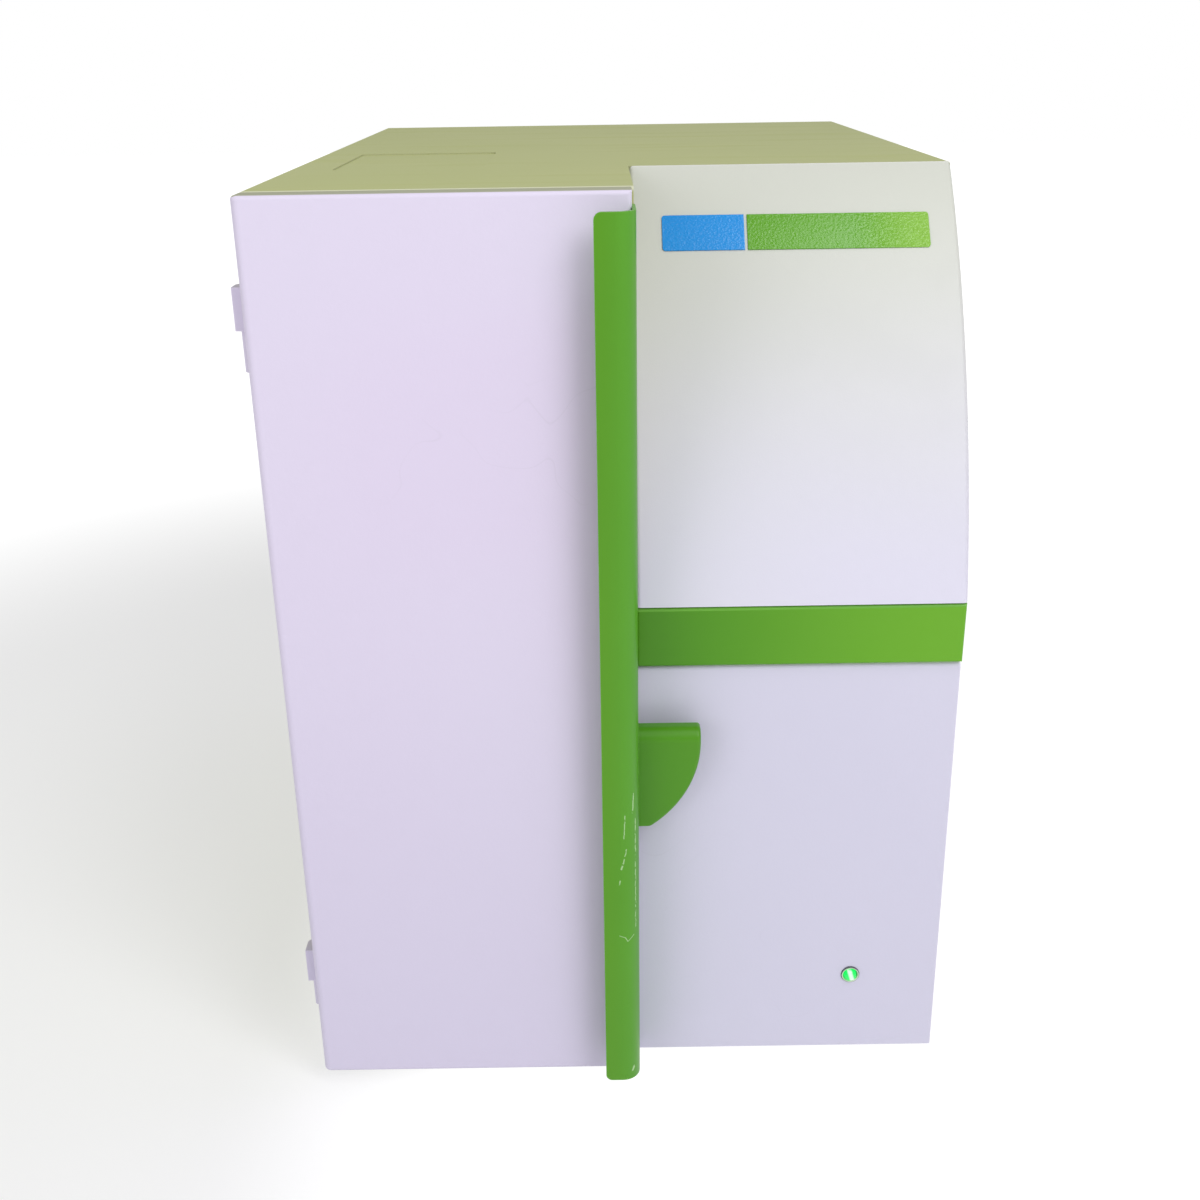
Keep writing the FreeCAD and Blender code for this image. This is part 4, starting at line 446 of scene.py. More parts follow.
def printed(name, colour, shade):
    """Label film printed from behind, with painted edge shade; rightward more pebbled, paler in a painted
    reflection.
    """
    finish = Finish(name)
    drift = finish.ease(finish.noise(0.05, 1.0), 0.3, 0.7)
    base = finish.blend(drift * 0.4, colour, shade)
    # Painted shade along the film's edges.
    base = finish.blend(finish.edges(0.5 * MM) * 0.4, base, tint(40, 90, 60))
    # Painted reflection: the film turns paler towards the right; the stronger pebbling there is real.
    rightward = finish.ease(finish.across("X"), *PLATE_FADE)
    base = finish.blend(rightward * 0.5, base, tint(168, 214, 96))
    pebbles = finish.cells(1.5 * MM, feature="SMOOTH_F1") + finish.noise(0.8 * MM, 1.0) * 0.4
    normal = finish.bump(pebbles * (0.15 + rightward * 0.85), 0.7 * MM, 1.0)
    return finish.surface(base, 0.24, normal, specular_ior_level=0.45)


def bare_metal(name, colour, shade, rough, run=(1.0, 1.0, 1.0), spangle=0.0):
    """Metal with fine tool or rolling marks drawn out along one way, and stains where it was handled."""
    finish = Finish(name)
    marks = finish.noise(0.8 * MM, 2.0, finish.stretched(*run))
    handled = finish.ease(finish.noise(0.04, 3.0), 0.4, 0.7)
    tone = marks * 0.5 + handled * 0.3
    if spangle:
        tone = tone + finish.ease(finish.cells(spangle), 0.2, 0.8) * 0.5
    base = finish.blend(tone, colour, shade)
    normal = finish.bump(marks, 0.02 * MM, 0.5)
    return finish.surface(base, rough + handled * 0.1 + marks * 0.06, normal, metallic=1.0)


def polished(name, colour):
    """Plated metal with faint haze."""
    finish = Finish(name)
    haze = finish.ease(finish.noise(14 * MM, 3.0), 0.35, 0.75)
    base = finish.blend(haze * 0.25, colour, tint(188, 190, 196))
    normal = finish.bump(finish.noise(0.5 * MM, 1.0), 0.008 * MM, 0.3)
    return finish.surface(base, 0.16 + haze * 0.06, normal, metallic=1.0)


def dull_rubber(name):
    """Black rubber with a dusty bloom."""
    finish = Finish(name)
    bloom = finish.ease(finish.noise(0.012, 3.0), 0.4, 0.75)
    base = finish.blend(bloom * 0.6, tint(34, 34, 36), tint(66, 65, 66))
    base = finish.blend(finish.edges(1.0 * MM) * 0.5, base, tint(92, 90, 90))
    normal = finish.bump(finish.noise(0.6 * MM, 2.0), 0.05 * MM, 0.6)
    return finish.surface(base, 0.78 + bloom * 0.12, normal)


def circuit_board(name):
    """Green solder mask over tracks, with paler pads."""
    finish = Finish(name)
    rows = {"Vector": finish.stretched(0.0, 1.0, 1.0), "Scale": 120.0}
    rows.update({"Mortar Size": 0.08, "Mortar Smooth": 0.2})
    tracks = finish.node("ShaderNodeTexBrick", {"offset": 0.5}, rows, "Fac")
    base = finish.blend(tracks, tint(22, 92, 58), tint(48, 128, 84))
    pads = 1.0 - finish.ease(finish.cells(5 * MM), 0.12, 0.18)
    base = finish.blend(pads * 0.8, base, tint(202, 204, 196))
    normal = finish.bump(tracks, 0.04 * MM, 0.6)
    return finish.surface(base, 0.36 + pads * 0.1, normal)


BUTTON_LOW, BUTTON_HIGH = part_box("button_lens")
BUTTON_MIDDLE = (BUTTON_LOW + BUTTON_HIGH) / 2
BUTTON_RADIUS = (BUTTON_HIGH.x - BUTTON_LOW.x) / 2


def round_button(finish):
    """Across and up from the button's middle, in radii of its lens."""
    aside = (finish.across("X") - BUTTON_MIDDLE.x) * (1 / BUTTON_RADIUS)
    above = (finish.across("Z") - BUTTON_MIDDLE.z) * (1 / BUTTON_RADIUS)
    return aside, above


def glowing_lens(name):
    """A lit lens: a slanting white core between clear green sides, dark at its right rim."""
    finish = Finish(name)
    aside, above = round_button(finish)
    off_core = abs(aside + above * 0.3 - 0.06)
    core = 1.0 - finish.ease(off_core, 0.16, 0.46)
    core = core * (1.0 - finish.ease(abs(above), 0.75, 1.0))
    glow = finish.blend(core, tint(0, 246, 96), tint(240, 255, 246))
    rim = finish.ease(aside, 0.7, 0.98) | finish.ease((aside * aside + above * above) ** 0.5, 0.9, 1.0) * 0.5
    glow = finish.blend(rim * 0.8, glow, tint(0, 96, 34))
    normal = finish.bump(finish.cells(1.2 * MM), 0.05 * MM, 0.4)
    inputs = {"emission_color": glow, "emission_strength": 0.85}
    return finish.surface(tint(20, 120, 60), 0.2 + core * 0.05, normal, **inputs)


def ringed_metal(name):
    """The button's ring: dark polished lip outside in painted shade, pale inside in the lens's painted glow.
    """
    finish = Finish(name)
    aside, above = round_button(finish)
    away = (aside * aside + above * above) ** 0.5
    # Painted shade on the outer lip; the pale green inside is a painted glow from the lens.
    lip = finish.ease(away, 1.2, 1.27)
    haze = finish.noise(2 * MM, 2.0)
    base = finish.blend(lip, tint(214, 226, 206), tint(88, 92, 97))
    base = finish.blend(haze * 0.2, base, tint(150, 154, 156))
    normal = finish.bump(finish.noise(0.4 * MM, 1.0), 0.01 * MM, 0.4)
    return finish.surface(base, 0.24 + haze * 0.08, normal, metallic=lip * 0.7)


LAVENDER = tint(222, 214, 235)
FINISHES = {
    "door_paint": enamel(
        "door_enamel", LAVENDER, tint(221, 208, 233), foot=tint(214, 207, 229), cap=tint(166, 168, 138)
    ),
    "cabinet_paint": roof_enamel("cabinet_enamel"),
    # The lower cover's fold is its top edge, which gets a painted highlight.
    "cover_paint": enamel(
        "lower_cover_enamel", tint(213, 210, 229), tint(210, 207, 227), rough=0.46, fold=PANEL_TOP
    ),
    # Its crown tone is partly a painted reflection.
    "cover_plastic": moulded(
        "curved_cover_plastic", tint(219, 216, 233), tint(217, 215, 228), crown=tint(203, 205, 196)
    ),
    "green_paint": green_enamel("pull_bar_enamel"),
    # Its side tone is painted light and its ridge a painted highlight.
    "green_plastic": moulded(
        "green_moulding", tint(74, 142, 0), tint(70, 138, 0), 0.36, side=tint(104, 170, 30), ridge=BAND_TOP
    ),
    "blue_plate": printed("blue_film", tint(0, 138, 220), tint(8, 144, 222)),
    "green_plate": printed("green_film", tint(86, 156, 0), tint(92, 160, 0)),
    "green_lens": glowing_lens("lit_lens"),
    "white_plastic": moulded("white_moulding", tint(232, 231, 228), tint(224, 223, 218)),
    "black_plastic": moulded("black_moulding", tint(30, 30, 32), tint(40, 40, 42), 0.42),
    "black_paint": enamel("black_enamel", tint(34, 34, 37), tint(42, 42, 45), rough=0.5),
    "shield_paint": enamel("shield_enamel", tint(118, 122, 128), tint(108, 112, 118), rough=0.5, peel=1.6),
    "board": circuit_board("circuit_board"),
    "zinc": bare_metal("zinc_sheet", tint(190, 194, 198), tint(160, 165, 170), 0.36, spangle=9 * MM),
    "steel": bare_metal("ground_steel", tint(196, 196, 198), tint(160, 160, 164), 0.2, (1.0, 1.0, 0.05)),
    "chrome": polished("plated_steel", tint(226, 228, 232)),
    "aluminium": bare_metal(
        "brushed_aluminium", tint(208, 210, 213), tint(178, 180, 184), 0.32, (1.0, 0.04, 1.0)
    ),
    "brass": bare_metal("turned_brass", tint(206, 170, 96), tint(176, 138, 70), 0.25),
    "rubber": dull_rubber("black_rubber"),
}


def dress_nodes():
    """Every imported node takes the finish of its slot.

    The zinc divider is the exception: its face shows at the step in the front, so it is painted.
    """
    slots = {piece["node"]: piece["material_slot"] for piece in frame["record"]["subparts"]}
    slots["bay_divider"] = "cabinet_paint"
    for name, node in nodes.items():
        finish = FINISHES[slots[name]]
        node.data.materials.clear()
        node.data.materials.append(finish)


# Shapes


WELD = 0.001 * MM
ISLAND_WELD = 0.01 * MM
SHARP_DEGREES = 32


def add_piece(name, mesh, body, slot, stands_for=(), finish=None):
    """A finished piece: closed, facing outward, riding on its body, and standing for what it replaces."""
    build = bmesh.new()
    build.from_mesh(mesh)
    bmesh.ops.remove_doubles(build, verts=build.verts, dist=WELD)
    bmesh.ops.recalc_face_normals(build, faces=build.faces)
    build.to_mesh(mesh)
    build.free()
    mesh.shade_smooth()
    mesh.set_sharp_from_angle(angle=math.radians(SHARP_DEGREES))
    mesh.materials.clear()
    mesh.materials.append(finish or FINISHES[slot])
    piece = bpy.data.objects.new(name, mesh)
    bpy.context.scene.collection.objects.link(piece)
    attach(piece, body)
    if stands_for:
        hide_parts(*stands_for)


def made(name, build):
    """A mesh from a finished edit."""
    mesh = bpy.data.meshes.new(name)
    build.to_mesh(mesh)
    build.free()
    return mesh


def in_metres(profile):
    """A profile written in millimetres, in the scene's metres."""
    return [(radius * MM, reach * MM) for radius, reach in profile]


def turned(build, profile, place, along, steps, bored=False, relief=None):
    """A turned form. Its profile gives radius and reach along the axis; a bored one closes on itself.

    relief gives how far the surface lies back at each step around and radius.
    """
    along = Vector(along).normalized()
    side = along.orthogonal().normalized()
    up = along.cross(side)
    loops = []
    for radius, reach in profile:
        middle = Vector(place) + along * reach
        if radius == 0:
            loops.append([build.verts.new(middle)] * steps)
            continue
        loop = []
        for k in range(steps):
            angle = TURN * k / steps
            depth = relief(k, radius) if relief else 0.0
            out = side * math.cos(angle) + up * math.sin(angle)
            loop.append(build.verts.new(middle + out * (radius - depth)))
        loops.append(loop)
    pairs = list(zip(loops, loops[1:]))
    if bored:
        pairs.append((loops[-1], loops[0]))
    for first, second in pairs:
        for k in range(steps):
            after = (k + 1) % steps
            corners = dict.fromkeys([first[k], first[after], second[after], second[k]])
            build.faces.new(list(corners))


def islands(node):
    """The box of each separate solid of a node."""
    copy = bmesh.new()
    copy.from_mesh(nodes[node].data)
    bmesh.ops.remove_doubles(copy, verts=copy.verts, dist=ISLAND_WELD)
    left = set(copy.verts)
    boxes = []
    while left:
        queue = [left.pop()]
        points = []
        while queue:
            vertex = queue.pop()
            points.append(vertex.co.copy())
            for edge in vertex.link_edges:
                other = edge.other_vert(vertex)
                if other in left:
                    left.remove(other)
                    queue.append(other)
        low = Vector([min(p[i] for p in points) for i in range(3)])
        high = Vector([max(p[i] for p in points) for i in range(3)])
        boxes.append((low, high))
    copy.free()
    return sorted(boxes, key=lambda box: tuple(box[0]))


# Badge


# The cover's curve seen from the side: its radius, and how far back and up its middle lies
NOSE_RADIUS = 550 * MM
NOSE_Y = 247.54 * MM
NOSE_Z = 250 * MM
PLATE_GAUGE = 0.8 * MM
PLATE_CORNER = 1.8 * MM
PLATE_BORDER = 0.5 * MM
PLATE_ROWS = 12
PLATE_COLUMNS = 24
PLATE_RIM = 0.22 * MM
CORNER_STEPS = 6


def plate_face(height):
    """Depth of a badge plate's face, on the curve of the cover."""
    radius = NOSE_RADIUS + PLATE_GAUGE
    return NOSE_Y - math.sqrt(radius * radius - (height - NOSE_Z) ** 2)


def add_badge(node, slot, left_round, right_round):
    """A thin plate bent to the cover, with rounded outer corners and a softened rim."""
    low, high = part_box(node)
    turns = [TURN / 4 * k / CORNER_STEPS for k in range(CORNER_STEPS + 1)]
    rounding = [(PLATE_CORNER * (1 - math.cos(turn)), PLATE_CORNER * (1 - math.sin(turn))) for turn in turns]
    middle = high.z - low.z - 2 * PLATE_CORNER
    rows = [(low.z + up, inset) for up, inset in rounding]
    rows += [(low.z + PLATE_CORNER + middle * k / PLATE_ROWS, 0.0) for k in range(1, PLATE_ROWS)]
    rows += [(high.z - up, inset) for up, inset in reversed(rounding)]
    build = bmesh.new()
    grid = []
    for height, inset in rows:
        start = low.x + (inset if left_round else 0.0)
        end = high.x - (inset if right_round else 0.0)
        step = (end - start - 2 * PLATE_BORDER) / (PLATE_COLUMNS - 2)
        inner = [start + PLATE_BORDER + step * k for k in range(PLATE_COLUMNS - 1)]
        places = [(x, plate_face(height), height) for x in [start] + inner + [end]]
        grid.append([build.verts.new(place) for place in places])
    for under, over in zip(grid, grid[1:]):
        for k in range(PLATE_COLUMNS):
            build.faces.new([under[k], under[k + 1], over[k + 1], over[k]])
    mesh = made(node + "_film", build)
    piece = bpy.data.objects.new(node + "_blank", mesh)
    bpy.context.scene.collection.objects.link(piece)
    wall = piece.modifiers.new("wall", "SOLIDIFY")
    wall.thickness = PLATE_GAUGE
    wall.offset = -1.0
    rim = piece.modifiers.new("rim", "BEVEL")
    rim.width = PLATE_RIM
    rim.segments = 2
    ready = piece.evaluated_get(bpy.context.evaluated_depsgraph_get())
    solid = bpy.data.meshes.new_from_object(ready)
    bpy.data.objects.remove(piece)
    add_piece(node + "_film", solid, "cabinet", slot, [node])


# Lit button


def add_button():
    """A domed lens in a turned ring with a rolled lip. Both profiles are in millimetres."""
    place = (BUTTON_MIDDLE.x, BUTTON_LOW.y, BUTTON_MIDDLE.z)
    dome = [
        (0, 0), (1.3, 0.07), (2.5, 0.34), (3.4, 0.85), (4.0, 1.6), (4.4, 2.6), (4.6, 3.8),
        (4.9, 5.0), (4.9, 13.5), (0, 13.5),
    ]
    build = bmesh.new()
    turned(build, in_metres(dome), place, (0, 1, 0), steps=64)
    add_piece("button_dome", made("button_dome", build), "button", "green_lens", ["button_lens"])
    lip_low, lip_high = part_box("button_bezel")
    back = (lip_high.y - lip_low.y) / MM
    section = [
        (5.15, 0.7), (5.3, 0.28), (5.6, 0.05), (5.95, 0.0), (6.3, 0.16), (6.52, 0.5), (6.6, 0.9),
        (6.6, 1.35), (5.9, 1.35), (5.9, back), (5.15, back),
    ]
    build = bmesh.new()
    seat = (BUTTON_MIDDLE.x, lip_low.y, BUTTON_MIDDLE.z)
    turned(build, in_metres(section), seat, (0, 1, 0), steps=64, bored=True)
    ring = made("button_ring", build)
    add_piece("button_ring", ring, "cabinet", "chrome", ["button_bezel"], ringed_metal("button_ring_metal"))


# Screws and nuts


# Shares of a head's height, from its washer face up
WASHER_SHARE = 0.18
BARREL_SHARE = 0.62
CROWN_SHARE = 0.2
WASHER_FLARE = 1.16
CROWN_TAPER = 0.74


def head_recipe(finish):
    """Six-sided heads with a chamfered crown on a thin washer face, one on each marked point."""
    recipe = Recipe("hexagonal_heads", "Radius", "Height")
    radius, height = recipe.size("Radius"), recipe.size("Height")
    facing = recipe.node("GeometryNodeInputNamedAttribute", {"data_type": "FLOAT_VECTOR"}, {"Name": "facing"})
    turn = recipe.node("FunctionNodeAlignRotationToVector", {"axis": "Z"}, {"Vector": facing})
    barrel_size = {"Vertices": 6, "Radius": radius, "Depth": height * BARREL_SHARE}
    barrel = recipe.node("GeometryNodeMeshCylinder", None, barrel_size)
    crown_size = {"Vertices": 6, "Radius Top": radius * CROWN_TAPER, "Radius Bottom": radius}
    crown_size["Depth"] = height * CROWN_SHARE
    crown = recipe.node("GeometryNodeMeshCone", None, crown_size)
    washer_size = {"Vertices": 28, "Radius": radius * WASHER_FLARE, "Depth": height * WASHER_SHARE}
    washer = recipe.node("GeometryNodeMeshCylinder", None, washer_size)
    head = recipe.joined(
        recipe.lifted(washer, height * (WASHER_SHARE / 2)),
        recipe.lifted(barrel, height * (WASHER_SHARE + BARREL_SHARE / 2)),
        recipe.lifted(crown, height * (WASHER_SHARE + BARREL_SHARE)),
    )
    placed = {"Points": recipe.size("Geometry"), "Instance": head, "Rotation": turn}
    recipe.serve(recipe.node("GeometryNodeInstanceOnPoints", None, placed), finish)
    return recipe


def add_heads(name, node, body, recipe, outward=None):
    """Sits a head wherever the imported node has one, facing away from the sheet that it holds.

    That is away from the object's middle, unless outward says 1 or -1. All heads of a node are alike.
    """
    middle = (cad_low + cad_high) / 2
    spots, ways = [], []
    for low, high in islands(node):
        size = high - low
        axis = min(range(3), key=lambda i: size[i])
        centre = (low + high) / 2
        way = Vector((0.0, 0.0, 0.0))
        way[axis] = outward or (-1 if centre[axis] < middle[axis] else 1)
        centre[axis] = low[axis] if way[axis] > 0 else high[axis]
        spots.append(centre)
        ways.append(way)
        height = size[axis]
        radius = max(size) / 2
    start = bpy.data.meshes.new(name + "_spots")
    start.from_pydata(spots, [], [])
    facing = start.attributes.new("facing", "FLOAT_VECTOR", "POINT")
    for k, way in enumerate(ways):
        facing.data[k].vector = way
    mesh = grown(name, start, recipe, Radius=radius, Height=height)
    add_piece(name, mesh, body, "zinc", [node])


# Lift drive


SCREW_LEAD = 20 * MM
SCREW_STARTS = 4.0
THREAD_DEPTH = 0.9 * MM
RINGS_A_TURN = 26
THREAD_SIDES = 40


def thread_recipe(finish, steps):
    """A round bar twisted along its line, so that the hollows of its section become a thread."""
    recipe = Recipe("lead_screw_thread", "Radius", "Depth", "Lead", "Starts")
    angle = recipe.node("GeometryNodeSplineParameter", output="Factor") * recipe.size("Starts") * TURN
    wave = angle.maths("COSINE", angle, 0.0)
    circle = {"Resolution": THREAD_SIDES, "Radius": recipe.size("Radius")}
    section = recipe.node("GeometryNodeCurvePrimitiveCircle", None, circle)
    inward = (0.0 - recipe.size("Depth")) / recipe.size("Radius") * (wave * 0.5 + 0.5)
    spot = recipe.node("GeometryNodeInputPosition")
    pull = recipe.node("ShaderNodeVectorMath", {"operation": "SCALE"}, {0: spot, "Scale": inward})
    grooved = recipe.node("GeometryNodeSetPosition", None, {"Geometry": section, "Offset": pull})
    line = recipe.node("GeometryNodeMeshToCurve", None, {"Mesh": recipe.size("Geometry")})
    finer = recipe.node("GeometryNodeResampleCurve", None, {"Curve": line, "Count": steps})
    run = recipe.node("GeometryNodeSplineParameter", output="Length")
    tilt = {"Curve": finer, "Tilt": run / recipe.size("Lead") * TURN}
    twisted = recipe.node("GeometryNodeSetCurveTilt", None, tilt)
    swept = {"Curve": twisted, "Profile Curve": grooved, "Fill Caps": True}
    recipe.serve(recipe.node("GeometryNodeCurveToMesh", None, swept), finish)
    return recipe


def add_lead_screw():
    """The lift's screw with its coarse thread."""
    low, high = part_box("lead_screw")
    middle = (low + high) / 2
    line = bpy.data.meshes.new("lead_screw_line")
    line.from_pydata([(middle.x, middle.y, low.z), (middle.x, middle.y, high.z)], [(0, 1)], [])
    steps = int((high.z - low.z) / SCREW_LEAD * RINGS_A_TURN)
    recipe = thread_recipe(FINISHES["steel"], steps)
    sizes = {"Depth": THREAD_DEPTH, "Lead": SCREW_LEAD, "Starts": SCREW_STARTS}
    mesh = grown("threaded_screw", line, recipe, Radius=(high.x - low.x) / 2, **sizes)
    add_piece("threaded_screw", mesh, "screw", "steel", ["lead_screw"])


# Around a pulley and along the belt, each tooth with its gap takes this many steps
STEPS_A_TOOTH = 4
PULLEY_TEETH = 29
DRUM_RADIUS = 13.9 * MM
FLANGE_RADIUS = 15.4 * MM
FLANGE_GAUGE = 1.0 * MM
FLANGE_CHAMFER = 0.2 * MM
GAP_DEPTH = 0.7 * MM
HUB_WALL = 3.4 * MM
HUB_RISE = 0.8 * MM
CHAMFER = 0.4 * MM


def first_half(k):
    """Whether a step lies in the first half of its tooth and gap."""
    return k % STEPS_A_TOOTH < STEPS_A_TOOTH / 2


def tooth_gap(k, radius):
    """How far a drum's surface lies back at one step around it."""
    return GAP_DEPTH if radius == DRUM_RADIUS and first_half(k) else 0.0


def add_pulley(name, node, body, bore, shaft=None):
    """A toothed drum between two flanges, with a hub collar. Both pulleys lie level.

    shaft is the radius of the shaft that it carries, if it has one.
    """
    low, high = (corner.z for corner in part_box("screw_pulley"))
    node_low, node_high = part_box(node)
    middle = (node_low + node_high) / 2
    place = (middle.x, middle.y, 0.0)
    section = [
        (bore, low),
        (FLANGE_RADIUS - FLANGE_CHAMFER, low),
        (FLANGE_RADIUS, low + FLANGE_CHAMFER),
        (FLANGE_RADIUS, low + FLANGE_GAUGE),
        (DRUM_RADIUS, low + FLANGE_GAUGE),
        (DRUM_RADIUS, high - FLANGE_GAUGE),
        (FLANGE_RADIUS, high - FLANGE_GAUGE),
        (FLANGE_RADIUS, high - FLANGE_CHAMFER),
        (FLANGE_RADIUS - FLANGE_CHAMFER, high),
        (bore + HUB_WALL, high),
        (bore + HUB_WALL - CHAMFER, high + HUB_RISE),
        (bore, high + HUB_RISE),
    ]
    build = bmesh.new()
    turned(build, section, place, (0, 0, 1), PULLEY_TEETH * STEPS_A_TOOTH, bored=True, relief=tooth_gap)
    if shaft:
        foot, top = node_low.z, node_high.z
        rod = [(0, foot), (shaft, foot), (shaft, top - CHAMFER), (shaft - CHAMFER, top), (0, top)]
        turned(build, rod, place, (0, 0, 1), steps=32)
    add_piece(name, made(name, build), body, "aluminium", [node])


BELT_TEETH = 66
BELT_TOOTH = 0.8 * MM
BELT_GAUGE = 1.5 * MM


def add_belt():
    """A belt with teeth on its straight runs. Where it wraps, they would lie hidden in the pulleys."""
    low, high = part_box("drive_belt")
    outer = (high.y - low.y) / 2
    inner = outer - BELT_GAUGE
    y = (low.y + high.y) / 2
    near, far = low.x + outer, high.x - outer
    straight, half = far - near, math.pi * inner
    length = 2 * (straight + half)
    count = BELT_TEETH * STEPS_A_TOOTH
    build = bmesh.new()
    loops = []
    for k in range(count):
        run = length * k / count
        tooth = BELT_TOOTH if first_half(k) else 0.0
        if run < straight:
            place, out = Vector((near + run, y, 0)), Vector((0, -1, 0))
        elif run < straight + half:
            angle = (run - straight) / inner - math.pi / 2
            place, out, tooth = Vector((far, y, 0)), Vector((math.cos(angle), math.sin(angle), 0)), 0.0
        elif run < 2 * straight + half:
            place, out = Vector((far - (run - straight - half), y, 0)), Vector((0, 1, 0))
        else:
            angle = (run - 2 * straight - half) / inner + math.pi / 2
            place, out, tooth = Vector((near, y, 0)), Vector((math.cos(angle), math.sin(angle), 0)), 0.0
        corners = [(inner - tooth, low.z), (outer, low.z), (outer, high.z), (inner - tooth, high.z)]
        loops.append([build.verts.new(place + out * reach + Vector((0, 0, z))) for reach, z in corners])
    for k, loop in enumerate(loops):
        after = loops[(k + 1) % count]
        for j, vertex in enumerate(loop):
            i = (j + 1) % len(loop)
            build.faces.new([vertex, after[j], after[i], loop[i]])
    add_piece("toothed_belt", made("toothed_belt", build), "cabinet", "rubber", ["drive_belt"])


# Feet and rocker marks


def add_feet():
    """Moulded feet, tapered towards the bench and dished underneath. Their profile is in millimetres."""
    build = bmesh.new()
    profile = [
        (0, 1.4), (8.6, 1.4), (9.6, 0.3), (10.2, 0.0), (13.6, 0.0), (14.6, 0.3), (15.2, 1.2), (16.2, 8.6),
        (17.0, 9.4), (17.0, 13.2), (16.4, 14.0), (0, 14.0),
    ]
    for low, high in islands("rubber_feet"):
        place = ((low.x + high.x) / 2, (low.y + high.y) / 2, low.z)
        turned(build, in_metres(profile), place, (0, 0, 1), steps=56)
    add_piece("moulded_feet", made("moulded_feet", build), "cabinet", "rubber", ["rubber_feet"])


MARK_PROUD = 0.12 * MM
MARK_SUNK = 0.05 * MM
MARK_SOFT = 0.08 * MM
BAR_HALF_WIDTH = 0.42 * MM
BAR_HALF_HEIGHT = 1.5 * MM
RING_BORE = 1.1 * MM
RING_RADIUS = 1.6 * MM
ROCKER_FALL = 2.4 * MM


def add_rocker_marks():
    """A bar on the rocker's raised half and a ring on its pressed half, printed white."""
    low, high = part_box("power_rocker")
    middle = (low + high) / 2
    build = bmesh.new()
    face = high.y
    half, tall = BAR_HALF_WIDTH, BAR_HALF_HEIGHT
    up = (middle.z + high.z) / 2
    outline = [(-half + MARK_SOFT, -tall), (half - MARK_SOFT, -tall)]
    outline += [(half, -tall + MARK_SOFT), (half, tall - MARK_SOFT)]
    outline += [(-x, -z) for x, z in outline]
    sheets = []
    for depth in (face - MARK_SUNK, face + MARK_PROUD):
        sheets.append([build.verts.new((middle.x + x, depth, up + z)) for x, z in outline])
    build.faces.new(sheets[0])
    build.faces.new(list(reversed(sheets[1])))
    for k in range(len(outline)):
        after = (k + 1) % len(outline)
        build.faces.new([sheets[0][k], sheets[0][after], sheets[1][after], sheets[1][k]])
    run = middle.z - low.z
    slope = Vector((0, run, -ROCKER_FALL)).normalized()
    seat = Vector((middle.x, face - ROCKER_FALL / 2, low.z + run / 2))
    ring = [(RING_BORE, -MARK_SUNK), (RING_RADIUS, -MARK_SUNK)]
    ring += [(RING_RADIUS, MARK_PROUD), (RING_BORE, MARK_PROUD)]
    turned(build, ring, seat, slope, steps=40, bored=True)
    add_piece("rocker_marks", made("rocker_marks", build), "rocker", "white_plastic")


# Studio


ROOM_LEVEL = 0.56
# Name, place, what it is turned to, width and watts of each lamp
LAMPS = [
    ("key_lamp", (1.25, -2.0, 2.0), (0.0, 0.0, 0.25), 1.5, 27.0),
    ("fill_lamp", (-1.6, -2.2, 1.2), (0.0, 0.0, 0.3), 1.6, 11.0),
    ("top_lamp", (0.66, -1.02, 2.35), (0.1, -0.1, 0.55), 0.6, 6.0),
]
FLOOR_REACH = 9.0
FLOOR_TONE = (0.82, 0.82, 0.83, 1.0)
WHITE = (1.0, 1.0, 1.0, 1.0)
CAMERA_PLACE = (-0.01225, -1.1158, 0.7029)
CAMERA_DEGREES = (68.0, 0.807, -0.28)
CAMERA_LENS = 41.6
CAMERA_SENSOR = 36.0


def area_lamp(name, place, aim, size, power):
    """A round soft lamp at a place, turned to what it lights."""
    lamp = bpy.data.lights.new(name, "AREA")
    lamp.shape = "DISK"
    lamp.size = size
    lamp.energy = power
    holder = bpy.data.objects.new(name, lamp)
    bpy.context.scene.collection.objects.link(holder)
    holder.location = place
    holder.rotation_euler = (Vector(aim) - Vector(place)).to_track_quat("-Z", "Y").to_euler()


def seen_directly(finish):
    """One where the eye, a mirror or a pane looks straight at it."""
    rays = finish.node("ShaderNodeLightPath", output="Is Camera Ray")
    mirrored = finish.node("ShaderNodeLightPath", output="Is Glossy Ray")
    through = finish.node("ShaderNodeLightPath", output="Is Transmission Ray")
    return rays | mirrored | through


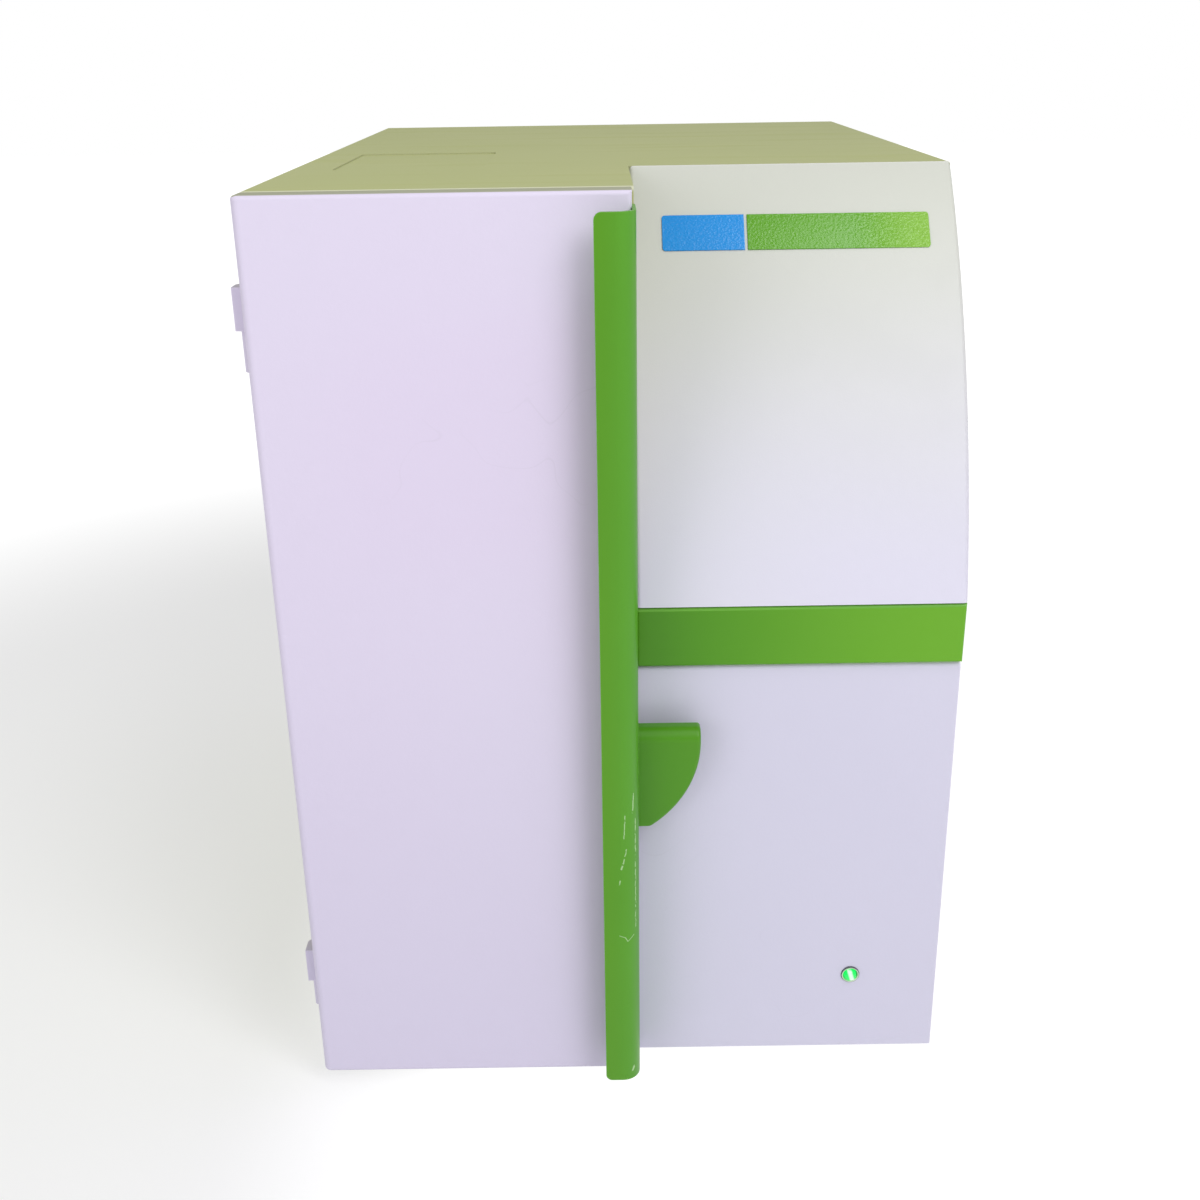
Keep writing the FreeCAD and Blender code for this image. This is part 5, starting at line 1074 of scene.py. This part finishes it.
def lay_floor():
    """A white floor that shows as plain white, apart from the counter's soft shadow on its left."""
    mesh = bpy.data.meshes.new("studio_floor")
    corners = [(FLOOR_REACH * x, FLOOR_REACH * y, 0) for x, y in ((-1, -1), (1, -1), (1, 1), (-1, 1))]
    mesh.from_pydata(corners, [], [(0, 1, 2, 3)])
    floor = bpy.data.objects.new("studio_floor", mesh)
    bpy.context.scene.collection.objects.link(floor)
    finish = Finish("white_floor")
    away = finish.node("ShaderNodeVectorMath", {"operation": "LENGTH"}, {0: finish.spot}, "Value")
    leftward = finish.ease(0.0 - finish.across("X"), 0.1, 0.3)
    nearby = (0.12 + leftward * 0.48) * (1.0 - finish.ease(away, 0.8, 1.7))
    lit = finish.node("ShaderNodeBsdfDiffuse", None, {"Color": FLOOR_TONE})
    plain = finish.node("ShaderNodeEmission", None, {"Color": WHITE, "Strength": 1.15})
    share = seen_directly(finish) * (1.0 - nearby)
    mixed = finish.node("ShaderNodeMixShader", None, {0: share, 1: lit, 2: plain})
    finish.node("ShaderNodeOutputMaterial", None, {"Surface": mixed})
    mesh.materials.append(finish.material)


def light_room():
    """An even white room, brighter to the eye than to the object, with its lamps."""
    world = bpy.data.worlds.new("white_room")
    bpy.context.scene.world = world
    world.use_nodes = True
    room = Tree(world.node_tree)
    room.tree.nodes.clear()
    seen = room.node("ShaderNodeLightPath", output="Is Camera Ray")
    seen = seen | room.node("ShaderNodeLightPath", output="Is Transmission Ray")
    level = room.node("ShaderNodeMapRange", None, {"Value": seen, "To Min": ROOM_LEVEL, "To Max": 1.0})
    light = room.node("ShaderNodeBackground", None, {"Color": WHITE, "Strength": level})
    room.node("ShaderNodeOutputWorld", None, {"Surface": light})
    for lamp in LAMPS:
        area_lamp(*lamp)


def set_camera():
    """The photograph's viewpoint: close in front, above the roof, looking down."""
    camera = bpy.data.cameras.new("photo_camera")
    camera.sensor_width = CAMERA_SENSOR
    camera.lens = CAMERA_LENS
    holder = bpy.data.objects.new("photo_camera", camera)
    bpy.context.scene.collection.objects.link(holder)
    holder.location = CAMERA_PLACE
    holder.rotation_euler = [math.radians(degrees) for degrees in CAMERA_DEGREES]
    bpy.context.scene.camera = holder


dress_nodes()
add_badge("badge_plate_short", "blue_plate", left_round=True, right_round=False)
add_badge("badge_plate_long", "green_plate", left_round=False, right_round=True)
add_button()
heads = head_recipe(FINISHES["zinc"])
add_heads("rear_and_side_heads", "panel_screws", "cabinet", heads)
add_heads("bar_heads", "pull_bar_screws", "door", heads, outward=-1)
add_heads("foot_nuts", "foot_screws", "cabinet", heads, outward=1)
add_lead_screw()
add_pulley("toothed_screw_pulley", "screw_pulley", "screw", bore=5.0 * MM)
add_pulley("toothed_motor_pulley", "motor_pulley", "motor", bore=2.4 * MM, shaft=2.5 * MM)
add_belt()
add_feet()
add_rocker_marks()
lay_floor()
light_room()
set_camera()
bpy.context.scene.view_settings.view_transform = "Standard"
